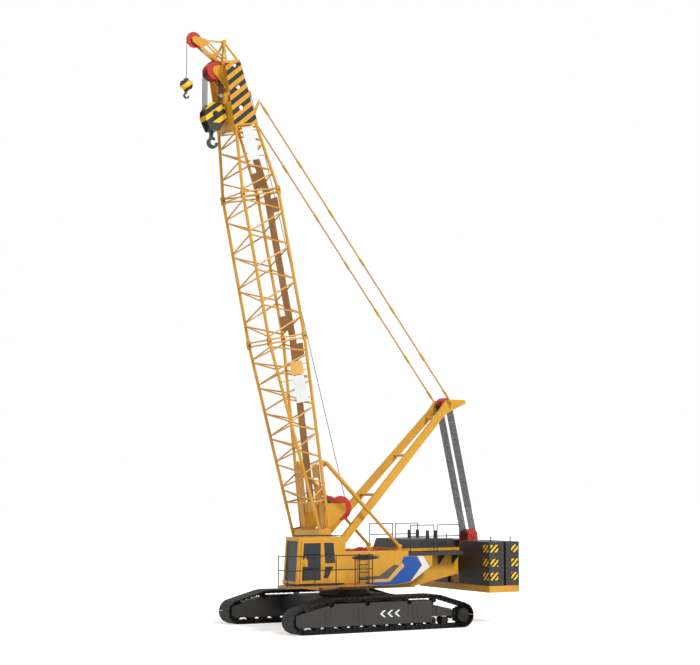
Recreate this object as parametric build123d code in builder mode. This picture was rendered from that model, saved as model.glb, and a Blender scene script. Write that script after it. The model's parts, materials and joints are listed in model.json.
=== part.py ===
"""Crawler crane: lattice boom with a tip jib, live mast, two hooks and a slewing upper structure.

Frame: +X forward, the way the boom leans; +Y to the crane's left; +Z up; millimetres.
The origin is on the ground, under the centre of rotation.
Each sub-part is written to parts/NAME.step, and NAME is its node.
"""

import os
from math import cos, radians, sin

from build123d import *

os.makedirs("parts", exist_ok=True)

# ================================================================ driving sizes
# clearances
BORE_FIT = 1.0  # a bore's radius over its pin's
GAP = 6.0  # between pieces that move past each other
REST = 0.5  # between a round piece and what it rolls in

# crawlers
TRACK_LENGTH = 8000.0
TRACK_GAUGE = 5500.0  # from the middle of one track to the middle of the other
SHOE_WIDTH = 900.0
SHOE_COUNT = 74
SHOE_THICKNESS = 45.0
SHOE_GAP = 16.0
SHOE_BEVEL = 14.0
LINK_HEIGHT = 115.0
LINK_WIDTH = 320.0
TRACK_END_RADIUS = 480.0
TRACK_TOP = 1310.0
CRAWLER_FRAME_WIDTH = 520.0
CRAWLER_FRAME_TOP = 1090.0
CRAWLER_FRAME_FOOT = 250.0
CRAWLER_FRAME_REAR = -2150.0
CRAWLER_FRAME_FRONT = 3740.0
CRAWLER_ARM_REAR = -3100.0
SKIRT = 30.0
YOKE = 55.0
ROLLER_RADIUS = 130.0
ROLLER_COUNT = 11
ROLLER_PITCH = 560.0
CARRIER_RADIUS = 85.0
CARRIER_X = (2250.0, 700.0, -1150.0, -2350.0)
AXLE_RADIUS = 35.0

# car body and slewing ring
CAR_BODY_HALF = 1150.0
CAR_BODY_BOTTOM = 450.0
CAR_BODY_TOP = 1230.0
PEDESTAL_RADIUS = 1000.0
PEDESTAL_TOP = 1340.0
AXLE_X = 1300.0
AXLE_WIDTH = 620.0
AXLE_TOP = 960.0
RING_RADIUS = 950.0
RING_BORE = 760.0
RING_HEIGHT = 60.0

# turntable
FLOOR_BOTTOM = PEDESTAL_TOP + 2 * RING_HEIGHT + GAP
FLOOR_PLATE = 60.0
WEB = 50.0
WEB_Y = 1075.0  # middle of a longitudinal web
WEB_TOP = 2150.0
WINCH_WEB_TOP = 2690.0
FRONT_X = 1750.0
BEAM_FRONT = -1900.0  # where the rear frame rises behind the winches
BEAM_REAR = -4640.0
BEAM_TOP = 2890.0
BEAM_BOTTOM = 1950.0
TAIL_REAR = -6350.0
TAIL_HALF = 330.0
TAIL_BOTTOM = 2000.0
TAIL_TOP = 2700.0
DECK_TOP = 1740.0
DECK_PLATE = 40.0
PIN_X = 1300.0  # shared pins of the boom foot and the mast foot
PIN_Z = 2600.0
PIN_RADIUS = 60.0
LUG_RADIUS = 170.0
PIN_REACH = 1240.0
FRONT_DRUM_X = 350.0
REAR_DRUM_X = -1100.0
DRUM_Z = 2520.0
DRUM_FLANGE = 500.0
DRUM_CORE = 320.0
HOUSING_OUTER = 1650.0
HOUSING_TOP = 2930.0
HOUSING_BOTTOM = 1620.0
HOUSING_FRONT = 1090.0
HOUSING_REAR = -3060.0
REAR_WALK_BOTTOM = 2720.0
REAR_WALK_TOP = 2860.0
HOOD_FRONT = -2020.0
HOOD_REAR = -4340.0
HOOD_HALF = 1250.0
HOOD_BOTTOM = 3000.0
HOOD_TOP = 3350.0
ENGINE_LENGTH = 1450.0
ENGINE_HALF = 750.0
ENGINE_TOP = 2850.0
BEARER_TOP = 1980.0

# counterweight
TRAY_FRONT = -5140.0
TRAY_REAR = -6590.0
TRAY_HALF = 2600.0
TRAY_BOTTOM = 1240.0
TRAY_TOP = 1500.0
STACK_TOP = 3250.0
STACK_INNER = 420.0
STACK_GAP = 90.0
STACK_SPLIT = -5895.0  # middle of the gap between its front and rear slabs
SLAB_COUNT = 5
SLAB_JOINT = 12.0

# boom
BOOM_ANGLE = 78.3  # from the horizontal, as it stands
BASE_LENGTH = 8720.0
INSERT_LENGTH = 5770.0
TOP_LENGTH = 5200.0
FOOT_PLATE_LENGTH = 1250.0
FOOT_PLATE = 60.0
FOOT_WIDTH = 2300.0
FOOT_DEPTH = 420.0
BOOM_WIDTH = 1800.0
BOOM_DEPTH = 1550.0
NECK_AT = 2650.0  # from the top section's lower end to its side plates
NECK_WIDTH = 1560.0
NECK_DEPTH = 880.0
NECK_OFFSET = 60.0
CROWN_DEPTH = 520.0
CROWN_OFFSET = 150.0
CHORD = 60.0  # radius
LACING = 32.0  # radius
LACING_SIDES = 8
BASE_BAYS = 6
INSERT_BAYS = 4
TOP_BAYS = 2
INSERT_FROM = BASE_LENGTH  # each of these is measured along the boom from its foot pin
TOP_FROM = INSERT_FROM + INSERT_LENGTH
NECK = TOP_FROM + NECK_AT
CROWN = TOP_FROM + TOP_LENGTH
HEAD_AXLE_AT = CROWN - 240
HEAD_AXLE_FORE = 660.0
HEAD_SHEAVE = 340.0
TIP_AXLE_AT = CROWN + 1060
TIP_AXLE_FORE = 1230.0
TIP_SHEAVE = 300.0
GUIDE_AT = CROWN - 1250
GUIDE_FORE = -560.0
GUIDE_SHEAVE = 200.0
APEX_AT = CROWN + 900
APEX_FORE = -30.0
SHEAVE_WIDTH = 60.0
HEAD_SHEAVE_PITCH = 105.0
HEAD_SHEAVE_COUNT = 5
WINCH_AT = 1790.0
WINCH_FORE = -1210.0
WINCH_FLANGE = 480.0
WINCH_CORE = 320.0
WINCH_HALF = 560.0
HOIST_ROPE = 13.0  # radius

# mast
MAST_ANGLE = 133.83
MAST_LENGTH = 8664.0
MAST_FOOT_Y = 890.0
MAST_HEAD_Y = 430.0
MAST_DEPTH = 290.0
MAST_THICK = 160.0
PENDANT_Y = 600.0
PENDANT_RADIUS = 32.0
PENDANT_AT = NECK + 910  # lug on the boom, along it and behind its middle
PENDANT_FORE = -800.0
BACKSTOP_Y = 1210.0
BACKSTOP_AT = 3700.0
BACKSTOP_X = -1800.0
BACKSTOP_RADIUS = 60.0

# luffing ropes
LOWER_BLOCK_X = -5900.0
LOWER_BLOCK_Z = 3450.0
LUFF_SHEAVE = 230.0
LUFF_SHEAVE_PITCH = 130.0
LUFF_SHEAVE_COUNT = 4
LUFF_ROPE = 11.0  # radius
LUFF_BLOCK_HALF = 290.0
LUFF_CHEEK = 40.0
SHEAVE_AXLE = 45.0  # radius

# hooks
CHEEK = 40.0
BLOCK_HALF = 250.0
BLOCK_DROP = 1720.0  # from the head axle to the hook block's axle
BALL_DROP = 1820.0

# cab
CAB_REAR = 1350.0
CAB_FRONT = 3400.0
CAB_RIGHT = 1290.0
CAB_LEFT = 2390.0
CAB_BOTTOM = 1760.0
CAB_TOP = 3540.0
CAB_WALL = 60.0

SIDES = (("left", 1), ("right", -1))

# ================================================================ directions
BOOM_PIN = Vector(PIN_X, 0, PIN_Z)
ALONG = Vector(cos(radians(BOOM_ANGLE)), 0, sin(radians(BOOM_ANGLE)))
FORE = Vector(sin(radians(BOOM_ANGLE)), 0, -cos(radians(BOOM_ANGLE)))
MAST_ALONG = Vector(cos(radians(MAST_ANGLE)), 0, sin(radians(MAST_ANGLE)))
MAST_BACK = Vector(-sin(radians(MAST_ANGLE)), 0, cos(radians(MAST_ANGLE)))
MAST_HEAD = BOOM_PIN + MAST_ALONG * MAST_LENGTH
LOWER_BLOCK = Vector(LOWER_BLOCK_X, 0, LOWER_BLOCK_Z)


def on_boom(at, fore=0.0, y=0.0):
    """A point given along the boom from its foot pin, forward of its middle, and to the left."""
    return BOOM_PIN + ALONG * at + FORE * fore + Vector(0, y, 0)


def on_mast(at, back=0.0, y=0.0):
    return BOOM_PIN + MAST_ALONG * at + MAST_BACK * back + Vector(0, y, 0)


HEAD_AXLE = on_boom(HEAD_AXLE_AT, HEAD_AXLE_FORE)
TIP_AXLE = on_boom(TIP_AXLE_AT, TIP_AXLE_FORE)
GUIDE_AXLE = on_boom(GUIDE_AT, GUIDE_FORE)
APEX = on_boom(APEX_AT, APEX_FORE)


# ================================================================ helpers
def save(builder, name):
    builder.part.label = name
    export_step(builder.part, f"parts/{name}.step")


def box(x, y, z, mode=Mode.ADD):
    """A box from its lowest and highest x, y and z."""
    centre = tuple((low + high) / 2 for low, high in (x, y, z))
    size = tuple(abs(high - low) for low, high in (x, y, z))
    with Locations(centre):
        Box(*size, mode=mode)


def bar(start, end, radius, mode=Mode.ADD):
    """A round bar between two points."""
    way = end - start
    with BuildSketch(Plane(origin=start, z_dir=way)) as section:
        Circle(radius)
    extrude(section.sketch, amount=way.length, mode=mode)


def rod(start, end, radius, sides=LACING_SIDES, mode=Mode.ADD):
    """A many-sided bar between two points, for thin tubes and ropes."""
    way = end - start
    with BuildSketch(Plane(origin=start, z_dir=way)) as section:
        RegularPolygon(radius, sides)
    return extrude(section.sketch, amount=way.length, mode=mode)


def cross_bar(x, z, y, radius, mode=Mode.ADD):
    """A round bar along Y."""
    low, high = sorted(y)
    bar(Vector(x, low, z), Vector(x, high, z), radius, mode)


def side_plate(points, y, mode=Mode.ADD):
    """A plate with its outline in XZ, and its two faces at y."""
    low, high = sorted(y)
    with BuildSketch(Plane.XZ.offset(-low)) as outline:
        Polygon(*points, align=None)
    extrude(outline.sketch, amount=low - high, mode=mode)


def plan_plate(points, z, mode=Mode.ADD):
    """A plate with its outline in XY, and its two faces at z."""
    with BuildSketch(Plane.XY.offset(z[0])) as outline:
        Polygon(*points, align=None)
    extrude(outline.sketch, amount=z[1] - z[0], mode=mode)


def wheel(x, y, z, profile, mode=Mode.ADD):
    """A body turned about an axis along Y, from a half profile of (distance along Y, radius)."""
    with BuildSketch(Plane(origin=(x, y, z), x_dir=(0, 1, 0), z_dir=(1, 0, 0))) as half:
        Polygon(*profile, align=None)
    axis = Axis((x, y, z), (0, 1, 0))
    revolve(half.sketch, axis=axis, mode=mode)


def sheaves(x, y, z, places, pitch_radius, axle_half, width=SHEAVE_WIDTH):
    """A row of grooved sheaves on one hub and axle; the rope's middle runs at the pitch radius."""
    rim, root = pitch_radius + 10, pitch_radius - 32
    profile = [(-axle_half, 0), (-axle_half, SHEAVE_AXLE)]
    for place in places:
        left, right = place - width / 2, place + width / 2
        profile += [(left, SHEAVE_AXLE + 30), (left, rim), (place - width / 2 + 4, rim), (place, root),
                    (place + width / 2 - 4, rim), (right, rim), (right, SHEAVE_AXLE + 30)]
    profile += [(axle_half, SHEAVE_AXLE), (axle_half, 0)]
    wheel(x, y, z, profile)


# ================================================================ crawlers
END_X = TRACK_LENGTH / 2 - TRACK_END_RADIUS
END_Z = TRACK_END_RADIUS
LINK_FACE = SHOE_THICKNESS + LINK_HEIGHT  # depth of the face that the rollers run on
CARRIER_Z = TRACK_TOP - LINK_FACE - CARRIER_RADIUS - REST


def track_loop(depth):
    """Outline of the track at a depth below the shoes' outer face, as a sketch in XZ."""
    with BuildSketch() as loop:
        with Locations((END_X, END_Z), (-END_X, END_Z)):
            Circle(TRACK_END_RADIUS - depth)
        with Locations((CARRIER_X[0], CARRIER_Z), (CARRIER_X[-1], CARRIER_Z)):
            Circle(TRACK_TOP - CARRIER_Z - depth)
        make_hull()
    return loop.sketch


def shoe_outline(loop, index):
    """Corners of one shoe between two points of the loop, narrower on its inner side."""
    inset = SHOE_GAP / 2 / loop.length
    start = loop.position_at(index / SHOE_COUNT + inset)
    end = loop.position_at((index + 1) / SHOE_COUNT - inset)
    along = (end - start).normalized()
    inward = Vector(-along.Y, along.X) * SHOE_THICKNESS
    bevel = along * SHOE_BEVEL
    return [(p.X, p.Y) for p in (start, end, end + inward - bevel, start + inward + bevel)]


def build_track(name, side):
    middle = side * TRACK_GAUGE / 2
    outside = track_loop(0).face().outer_wire()
    with BuildPart() as track:
        with BuildSketch(Plane.XZ.offset(-middle - SHOE_WIDTH / 2)):
            for index in range(SHOE_COUNT):
                Polygon(*shoe_outline(outside, index), align=None)
        extrude(amount=SHOE_WIDTH)
        with BuildSketch(Plane.XZ.offset(-middle - LINK_WIDTH / 2)):
            add(track_loop(SHOE_THICKNESS - 8))
            add(track_loop(SHOE_THICKNESS + LINK_HEIGHT), mode=Mode.SUBTRACT)
        extrude(amount=LINK_WIDTH)
    save(track, name)


def build_crawler_frame(name, side):
    middle = side * TRACK_GAUGE / 2
    half = CRAWLER_FRAME_WIDTH / 2
    foot = CRAWLER_FRAME_FOOT
    outline = (
        (CRAWLER_FRAME_REAR, foot),
        (CRAWLER_FRAME_FRONT - 120, foot),
        (CRAWLER_FRAME_FRONT, foot + 120),
        (CRAWLER_FRAME_FRONT, 700),
        (3500, 770),
        (CARRIER_X[0] + 150, 1020),
        (CARRIER_X[0] - 100, CRAWLER_FRAME_TOP),
        (CRAWLER_FRAME_REAR, CRAWLER_FRAME_TOP),
    )
    arm = (
        (CRAWLER_FRAME_REAR + 10, foot),
        (CRAWLER_ARM_REAR, foot + 40),
        (CRAWLER_ARM_REAR, 720),
        (CRAWLER_FRAME_REAR + 10, 930),
    )
    tunnel = LINK_FACE + 2 * ROLLER_RADIUS + 40
    inner = half - SKIRT
    pocket = half - YOKE
    idler_room = END_X - TRACK_END_RADIUS + LINK_FACE - 30
    with BuildPart() as frame:
        side_plate(outline, (middle - half, middle + half))
        side_plate(arm, (middle - half + 60, middle + half - 60))
        box((-3200, CRAWLER_FRAME_FRONT + 1), (middle - inner, middle + inner), (foot - 1, tunnel), Mode.SUBTRACT)
        box((idler_room, CRAWLER_FRAME_FRONT + 1), (middle - pocket, middle + pocket), (foot - 1, 1200), Mode.SUBTRACT)
        for x in CARRIER_X[:3]:
            cross_bar(x, CARRIER_Z, (middle - half - 1, middle + half + 1), CARRIER_RADIUS + 25, Mode.SUBTRACT)
        for x in CARRIER_X[:3]:
            box((x - 25, x + 25), (middle - 20, middle + 20), (CARRIER_Z - 140, CARRIER_Z))
        box((CARRIER_X[3] - 40, CARRIER_X[3] + 40), (middle - 20, middle + 20), (800, CARRIER_Z))
    save(frame, name)


def build_rollers(name, side):
    """Bottom rollers, carrier rollers and the front idler of one crawler."""
    middle = side * TRACK_GAUGE / 2
    half = LINK_WIDTH / 2
    inner = CRAWLER_FRAME_WIDTH / 2 - SKIRT
    axle_z = LINK_FACE + ROLLER_RADIUS + REST
    roller = [
        (-inner, 0), (-inner, AXLE_RADIUS), (-half - 35, AXLE_RADIUS), (-half - 35, ROLLER_RADIUS + 20),
        (-half - 8, ROLLER_RADIUS + 20), (-half - 8, ROLLER_RADIUS), (half + 8, ROLLER_RADIUS),
        (half + 8, ROLLER_RADIUS + 20), (half + 35, ROLLER_RADIUS + 20), (half + 35, AXLE_RADIUS),
        (inner, AXLE_RADIUS), (inner, 0),
    ]
    carrier = [(22, 0), (22, CARRIER_RADIUS), (half - 20, CARRIER_RADIUS), (half - 20, 0)]
    idler_radius = TRACK_END_RADIUS - LINK_FACE - REST
    rim = (CRAWLER_FRAME_WIDTH / 2 - YOKE)
    idler = [
        (-rim, 0), (-rim, 90), (-half + 20, 90), (-half + 20, idler_radius - 70), (-half, idler_radius - 70),
        (-half, idler_radius), (half, idler_radius), (half, idler_radius - 70), (half - 20, idler_radius - 70),
        (half - 20, 90), (rim, 90), (rim, 0),
    ]
    with BuildPart() as rollers:
        for index in range(ROLLER_COUNT):
            x = (index - (ROLLER_COUNT - 1) / 2) * ROLLER_PITCH
            wheel(x, middle, axle_z, roller)
        for x in CARRIER_X:
            for way in (1, -1):
                wheel(x, middle, CARRIER_Z, [(way * along, radius) for along, radius in carrier])
        wheel(END_X, middle, END_Z, idler)
    save(rollers, name)


def build_sprocket(name, side):
    """Drive sprocket with its final drive, and the round cover outside it."""
    middle = side * TRACK_GAUGE / 2
    tip = TRACK_END_RADIUS - LINK_FACE - 2
    root = tip - 45
    teeth = 14
    with BuildPart() as sprocket:
        with BuildSketch(Plane.XZ.offset(-middle - 70)):
            with Locations((-END_X, END_Z)):
                Circle(root)
                with PolarLocations(root - 10, teeth):
                    Trapezoid(75, 50, 65, rotation=-90, align=(Align.CENTER, Align.MIN))
        extrude(amount=140)
        outside = side * (CRAWLER_FRAME_WIDTH / 2 + 150)
        cross_bar(-END_X, END_Z, (middle, middle + outside), 225)
        cross_bar(-END_X, END_Z, (middle - side * 230, middle + outside - side * 40), 205)
        cross_bar(-END_X, END_Z, (middle + outside - side * 60, middle + outside), 265)
        box((-END_X, CRAWLER_ARM_REAR), (middle - 180, middle + 180), (END_Z - 130, END_Z + 130))
    save(sprocket, name)


for name, side in SIDES:
    build_track(f"{name}_track", side)
    build_crawler_frame(f"{name}_crawler_frame", side)
    build_rollers(f"{name}_rollers", side)
    build_sprocket(f"{name}_sprocket", side)

with BuildPart() as car_body:
    half = CAR_BODY_HALF
    box((-half, half), (-half, half), (CAR_BODY_BOTTOM, CAR_BODY_TOP))
    inner_face = TRACK_GAUGE / 2 - CRAWLER_FRAME_WIDTH / 2
    beam = (
        (-inner_face, CAR_BODY_BOTTOM + 60), (-half, CAR_BODY_BOTTOM), (half, CAR_BODY_BOTTOM),
        (inner_face, CAR_BODY_BOTTOM + 60), (inner_face, AXLE_TOP), (half, CAR_BODY_TOP),
        (-half, CAR_BODY_TOP), (-inner_face, AXLE_TOP),
    )
    for x in (-AXLE_X, AXLE_X):
        with BuildSketch(Plane.YZ.offset(x - AXLE_WIDTH / 2)):
            Polygon(*beam, align=None)
        extrude(amount=AXLE_WIDTH)
    with BuildSketch(Plane.XY.offset(CAR_BODY_TOP)):
        Circle(PEDESTAL_RADIUS)
    extrude(amount=PEDESTAL_TOP - CAR_BODY_TOP)
save(car_body, "car_body")


def build_ring(name, bottom):
    with BuildPart() as ring:
        with BuildSketch(Plane.XY.offset(bottom)):
            Circle(RING_RADIUS)
            Circle(RING_BORE, mode=Mode.SUBTRACT)
        extrude(amount=RING_HEIGHT)
    save(ring, name)


build_ring("slewing_ring_lower", PEDESTAL_TOP)
build_ring("slewing_ring_upper", PEDESTAL_TOP + RING_HEIGHT + GAP)

# ================================================================ turntable
FLOOR_TOP = FLOOR_BOTTOM + FLOOR_PLATE
WEB_INNER = WEB_Y - WEB / 2
WEB_OUTER = WEB_Y + WEB / 2
with BuildPart() as turntable:
    box((-2600, FRONT_X), (-WEB_OUTER, WEB_OUTER), (FLOOR_BOTTOM, FLOOR_TOP))
    web = (
        (FRONT_X, FLOOR_TOP - 5), (FRONT_X, WEB_TOP), (PIN_X + LUG_RADIUS + 40, WEB_TOP + 150),
        (PIN_X + LUG_RADIUS, PIN_Z), (PIN_X - LUG_RADIUS, PIN_Z), (PIN_X - LUG_RADIUS - 80, WINCH_WEB_TOP),
        (BEAM_FRONT + 200, WINCH_WEB_TOP), (BEAM_FRONT, BEAM_TOP), (BEAM_REAR, BEAM_TOP),
        (BEAM_REAR, BEAM_BOTTOM), (-2600, FLOOR_TOP - 5),
    )
    for name, side in SIDES:
        faces = (side * WEB_INNER, side * WEB_OUTER)
        side_plate(web, faces)
        cross_bar(PIN_X, PIN_Z, faces, LUG_RADIUS)
        cross_bar(PIN_X, PIN_Z, (side * (MAST_FOOT_Y - MAST_THICK / 2 - 40), side * PIN_REACH), PIN_RADIUS)
        for x in (600, 1500):
            arm = ((side * WEB_OUTER, FLOOR_BOTTOM), (side * 2250, DECK_TOP - DECK_PLATE - 90),
                   (side * 2250, DECK_TOP - DECK_PLATE), (side * WEB_OUTER, DECK_TOP - DECK_PLATE))
            with BuildSketch(Plane.YZ.offset(x)):
                Polygon(*arm, align=None)
            extrude(amount=120)
    # cross plates between the webs: x, thickness, bottom, top
    for x, thick, bottom, top in (
        (1680, 40, FLOOR_TOP, 2050), (940, 40, FLOOR_TOP, 2050), (-1700, 40, FLOOR_TOP, 2100),
        (-2600, 40, FLOOR_TOP, 2600), (-3100, 120, BEARER_TOP - 90, BEARER_TOP),
        (-4000, 120, BEARER_TOP - 90, BEARER_TOP), (BEAM_REAR, 40, BEAM_BOTTOM, BEAM_TOP),
    ):
        box((x, x + thick), (-WEB_INNER, WEB_INNER), (bottom, top))
    # sill that the hood stands on, open in its middle
    box((BEAM_REAR, HOOD_FRONT + 60), (-HOOD_HALF, HOOD_HALF), (BEAM_TOP, HOOD_BOTTOM))
    box((HOOD_REAR + 60, HOOD_FRONT - 60), (-WEB_INNER, WEB_INNER), (BEAM_TOP - 1, HOOD_BOTTOM + 1), Mode.SUBTRACT)
    # tail beam that carries the lower luffing block and hangs the counterweight
    tail = (
        (BEAM_REAR, TAIL_BOTTOM), (BEAM_REAR, BEAM_TOP), (BEAM_REAR - 300, TAIL_TOP), (TAIL_REAR, TAIL_TOP),
        (TAIL_REAR, TAIL_BOTTOM),
    )
    side_plate(tail, (-TAIL_HALF, TAIL_HALF))
save(turntable, "turntable_frame")


def build_housing(name, side):
    """Side housing: its lower edge rises towards the rear, and a pad on it stops the backstop."""
    outline = (
        (HOUSING_FRONT, DECK_TOP + 2), (390, DECK_TOP + 2), (390, HOUSING_BOTTOM), (-1300, HOUSING_BOTTOM),
        (-2050, HOUSING_BOTTOM + 80), (HOUSING_REAR, 2340), (HOUSING_REAR, REAR_WALK_BOTTOM),
        (BACKSTOP_X - 150, REAR_WALK_BOTTOM), (BACKSTOP_X - 150, HOUSING_TOP), (HOUSING_FRONT, HOUSING_TOP),
    )
    with BuildPart() as housing:
        side_plate(outline, (side * WEB_OUTER, side * HOUSING_OUTER))
        pad = side * BACKSTOP_Y
        box((BACKSTOP_X - 110, BACKSTOP_X + 130), (pad - 90, pad + 90), (HOUSING_TOP, HOUSING_TOP + 60))
        # louvre panel, let in by the depth of one slat
        with BuildSketch(Plane.XZ.offset(-side * HOUSING_OUTER)):
            with Locations((0, 2700)):
                SlotOverall(1250, 210)
        extrude(amount=side * 25, mode=Mode.SUBTRACT)
    save(housing, name)


for name, side in SIDES:
    build_housing(f"{name}_housing", side)

with BuildPart() as rear_walkways:
    for name, side in SIDES:
        box((HOOD_REAR - 200, BACKSTOP_X - 156), (side * WEB_OUTER, side * HOUSING_OUTER),
            (REAR_WALK_BOTTOM, REAR_WALK_TOP))
        for x in (HOUSING_REAR - 700, HOUSING_REAR - 1340):
            bracket = ((side * WEB_OUTER, REAR_WALK_BOTTOM - 380), (side * WEB_OUTER, REAR_WALK_BOTTOM),
                       (side * (HOUSING_OUTER - 60), REAR_WALK_BOTTOM))
            with BuildSketch(Plane.YZ.offset(x)):
                Polygon(*bracket, align=None)
            extrude(amount=60)
save(rear_walkways, "rear_walkways")

with BuildPart() as hood:
    side_plate(((HOOD_REAR, HOOD_BOTTOM), (HOOD_FRONT, HOOD_BOTTOM), (HOOD_FRONT - 140, HOOD_TOP),
                (HOOD_REAR, HOOD_TOP)), (-HOOD_HALF + 40, HOOD_HALF - 40))
    for y in (-700, 700):
        cross = ((HOOD_REAR + 500, y), (HOOD_REAR + 900, y))
        for x, middle in cross:
            with Locations((x, middle, HOOD_TOP)):
                Cylinder(70, 330, align=(Align.CENTER, Align.CENTER, Align.MIN))
save(hood, "engine_hood")

with BuildPart() as engine:
    middle = (HOOD_FRONT + HOOD_REAR) / 2 - 430
    box((middle - ENGINE_LENGTH / 2, middle + ENGINE_LENGTH / 2), (-ENGINE_HALF, ENGINE_HALF), (BEARER_TOP, ENGINE_TOP))
save(engine, "engine")


def drum_profile(half, flange, core, axle_half, plate=35.0, axle=90.0):
    return [
        (-axle_half, 0), (-axle_half, axle), (-half, axle), (-half, flange), (-half + plate, flange),
        (-half + plate, core), (half - plate, core), (half - plate, flange), (half, flange), (half, axle),
        (axle_half, axle), (axle_half, 0),
    ]


with BuildPart() as deck_winches:
    for x in (FRONT_DRUM_X, REAR_DRUM_X):
        wheel(x, 0, DRUM_Z, drum_profile(700, DRUM_FLANGE, DRUM_CORE, WEB_INNER))
save(deck_winches, "deck_winches")

# ================================================================ counterweight
with BuildPart() as tray:
    box((TRAY_REAR, TRAY_FRONT), (-TRAY_HALF, TRAY_HALF), (TRAY_BOTTOM, TRAY_TOP))
    # pillar under the tail beam
    box((TAIL_REAR - 60, TRAY_FRONT - 100), (-TAIL_HALF - 40, TAIL_HALF + 40), (TRAY_TOP, TAIL_BOTTOM))
save(tray, "counterweight_tray")


def build_stack(name, side):
    """Slabs in a front and a rear column, each a little wider than the core that joins them."""
    rows = ((TRAY_REAR, STACK_SPLIT - STACK_GAP / 2), (STACK_SPLIT + STACK_GAP / 2, TRAY_FRONT))
    height = (STACK_TOP - TRAY_TOP) / SLAB_COUNT
    outer = TRAY_HALF - 6
    edge = SLAB_JOINT
    with BuildPart() as stack:
        for low, high in rows:
            box((low + edge, high - edge), (side * (STACK_INNER + edge), side * (outer - edge)),
                (TRAY_TOP, STACK_TOP - edge))
            for slab in range(SLAB_COUNT):
                floor = TRAY_TOP + slab * height
                box((low, high), (side * STACK_INNER, side * outer), (floor + edge / 2, floor + height - edge / 2))
            # lifting lugs on the outer face, beside the gap
            near = high if high < STACK_SPLIT else low
            step = 1 if high < STACK_SPLIT else -1
            for z in (TRAY_TOP + 500, STACK_TOP - 300):
                cross_bar(near - step * 130, z, (side * (outer - 5), side * TRAY_HALF), 60)
    save(stack, name)


for name, side in SIDES:
    build_stack(f"counterweight_{name}", side)

half_shift = LUFF_SHEAVE_PITCH / 4
luff_places = [(index - (LUFF_SHEAVE_COUNT - 1) / 2) * LUFF_SHEAVE_PITCH for index in range(LUFF_SHEAVE_COUNT)]
LOWER_ROPE_Y = [place - half_shift for place in luff_places]
UPPER_ROPE_Y = [place + half_shift for place in luff_places]

with BuildPart() as lower_block:
    cheek = ((LOWER_BLOCK_X - 300, TAIL_TOP), (LOWER_BLOCK_X + 340, TAIL_TOP),
             (LOWER_BLOCK_X + 210, LOWER_BLOCK_Z + 90), (LOWER_BLOCK_X - 210, LOWER_BLOCK_Z + 90))
    for side in (1, -1):
        faces = (side * LUFF_BLOCK_HALF, side * (LUFF_BLOCK_HALF + LUFF_CHEEK))
        side_plate(cheek, faces)
        cross_bar(LOWER_BLOCK_X, LOWER_BLOCK_Z, faces, LUFF_SHEAVE)
        cross_bar(LOWER_BLOCK_X, LOWER_BLOCK_Z, (faces[1] - side, faces[1] + side * 40), SHEAVE_AXLE * 2)
    sheaves(LOWER_BLOCK_X, 0, LOWER_BLOCK_Z, LOWER_ROPE_Y, LUFF_SHEAVE, LUFF_BLOCK_HALF + 5)
save(lower_block, "lower_luffing_block")

# ================================================================ cab
with BuildPart() as platform:
    plan = ((400, WEB_OUTER), (400, 2930), (4080, 2930), (4080, 2150), (3480, 1250), (FRONT_X + 20, WEB_OUTER))
    plan_plate(plan, (DECK_TOP - DECK_PLATE, DECK_TOP))
save(platform, "cab_platform")

with BuildPart() as cab_floor:
    box((CAB_REAR, CAB_FRONT), (CAB_RIGHT, CAB_LEFT), (CAB_BOTTOM, CAB_BOTTOM + CAB_WALL))
    for x in (CAB_REAR + 150, CAB_FRONT - 250):
        for y in (CAB_RIGHT + 100, CAB_LEFT - 200):
            box((x, x + 100), (y, y + 100), (DECK_TOP, CAB_BOTTOM))
save(cab_floor, "cab_floor")

LEAN = 110.0  # the windshield's top behind its foot
FLOOR = CAB_BOTTOM + CAB_WALL
CEILING = CAB_TOP - CAB_WALL
DOOR_REAR = 2330.0
DOOR_FRONT = 3230.0
SIDE_OUTLINE = ((CAB_REAR, FLOOR), (CAB_FRONT, FLOOR), (CAB_FRONT - LEAN, CEILING), (CAB_REAR - 60, CEILING))

with BuildPart() as cab_left_wall:
    side_plate(SIDE_OUTLINE, (CAB_LEFT - CAB_WALL, CAB_LEFT))
    door = ((DOOR_REAR, FLOOR - 1), (DOOR_FRONT + 40, FLOOR - 1), (DOOR_FRONT - 40, CEILING - 90),
            (DOOR_REAR, CEILING - 90))
    side_plate(door, (CAB_LEFT - CAB_WALL - 1, CAB_LEFT + 1), Mode.SUBTRACT)
    upper = ((2240, CEILING - 150), (1830, CEILING - 150), (1750, 2560), (2180, 2560))
    lower = ((2260, 2010), (2060, 2010), (1830, 2440), (2180, 2440))
    for window in (upper, lower):
        side_plate(window, (CAB_LEFT - CAB_WALL - 1, CAB_LEFT + 1), Mode.SUBTRACT)
save(cab_left_wall, "cab_left_wall")

with BuildPart() as cab_right_wall:
    side_plate(SIDE_OUTLINE, (CAB_RIGHT, CAB_RIGHT + CAB_WALL))
    window = ((1700, 2350), (3180, 2350), (3130, CEILING - 120), (1700, CEILING - 120))
    side_plate(window, (CAB_RIGHT - 1, CAB_RIGHT + CAB_WALL + 1), Mode.SUBTRACT)
save(cab_right_wall, "cab_right_wall")

with BuildPart() as cab_rear_wall:
    rear = ((CAB_REAR, FLOOR), (CAB_REAR + CAB_WALL, FLOOR), (CAB_REAR - 60 + CAB_WALL, CEILING),
            (CAB_REAR - 60, CEILING))
    side_plate(rear, (CAB_RIGHT + CAB_WALL, CAB_LEFT - CAB_WALL))
    box((CAB_REAR - 200, CAB_REAR + 200), (CAB_RIGHT + 180, CAB_LEFT - 180), (2500, CEILING - 120), Mode.SUBTRACT)
save(cab_rear_wall, "cab_rear_wall")

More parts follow.
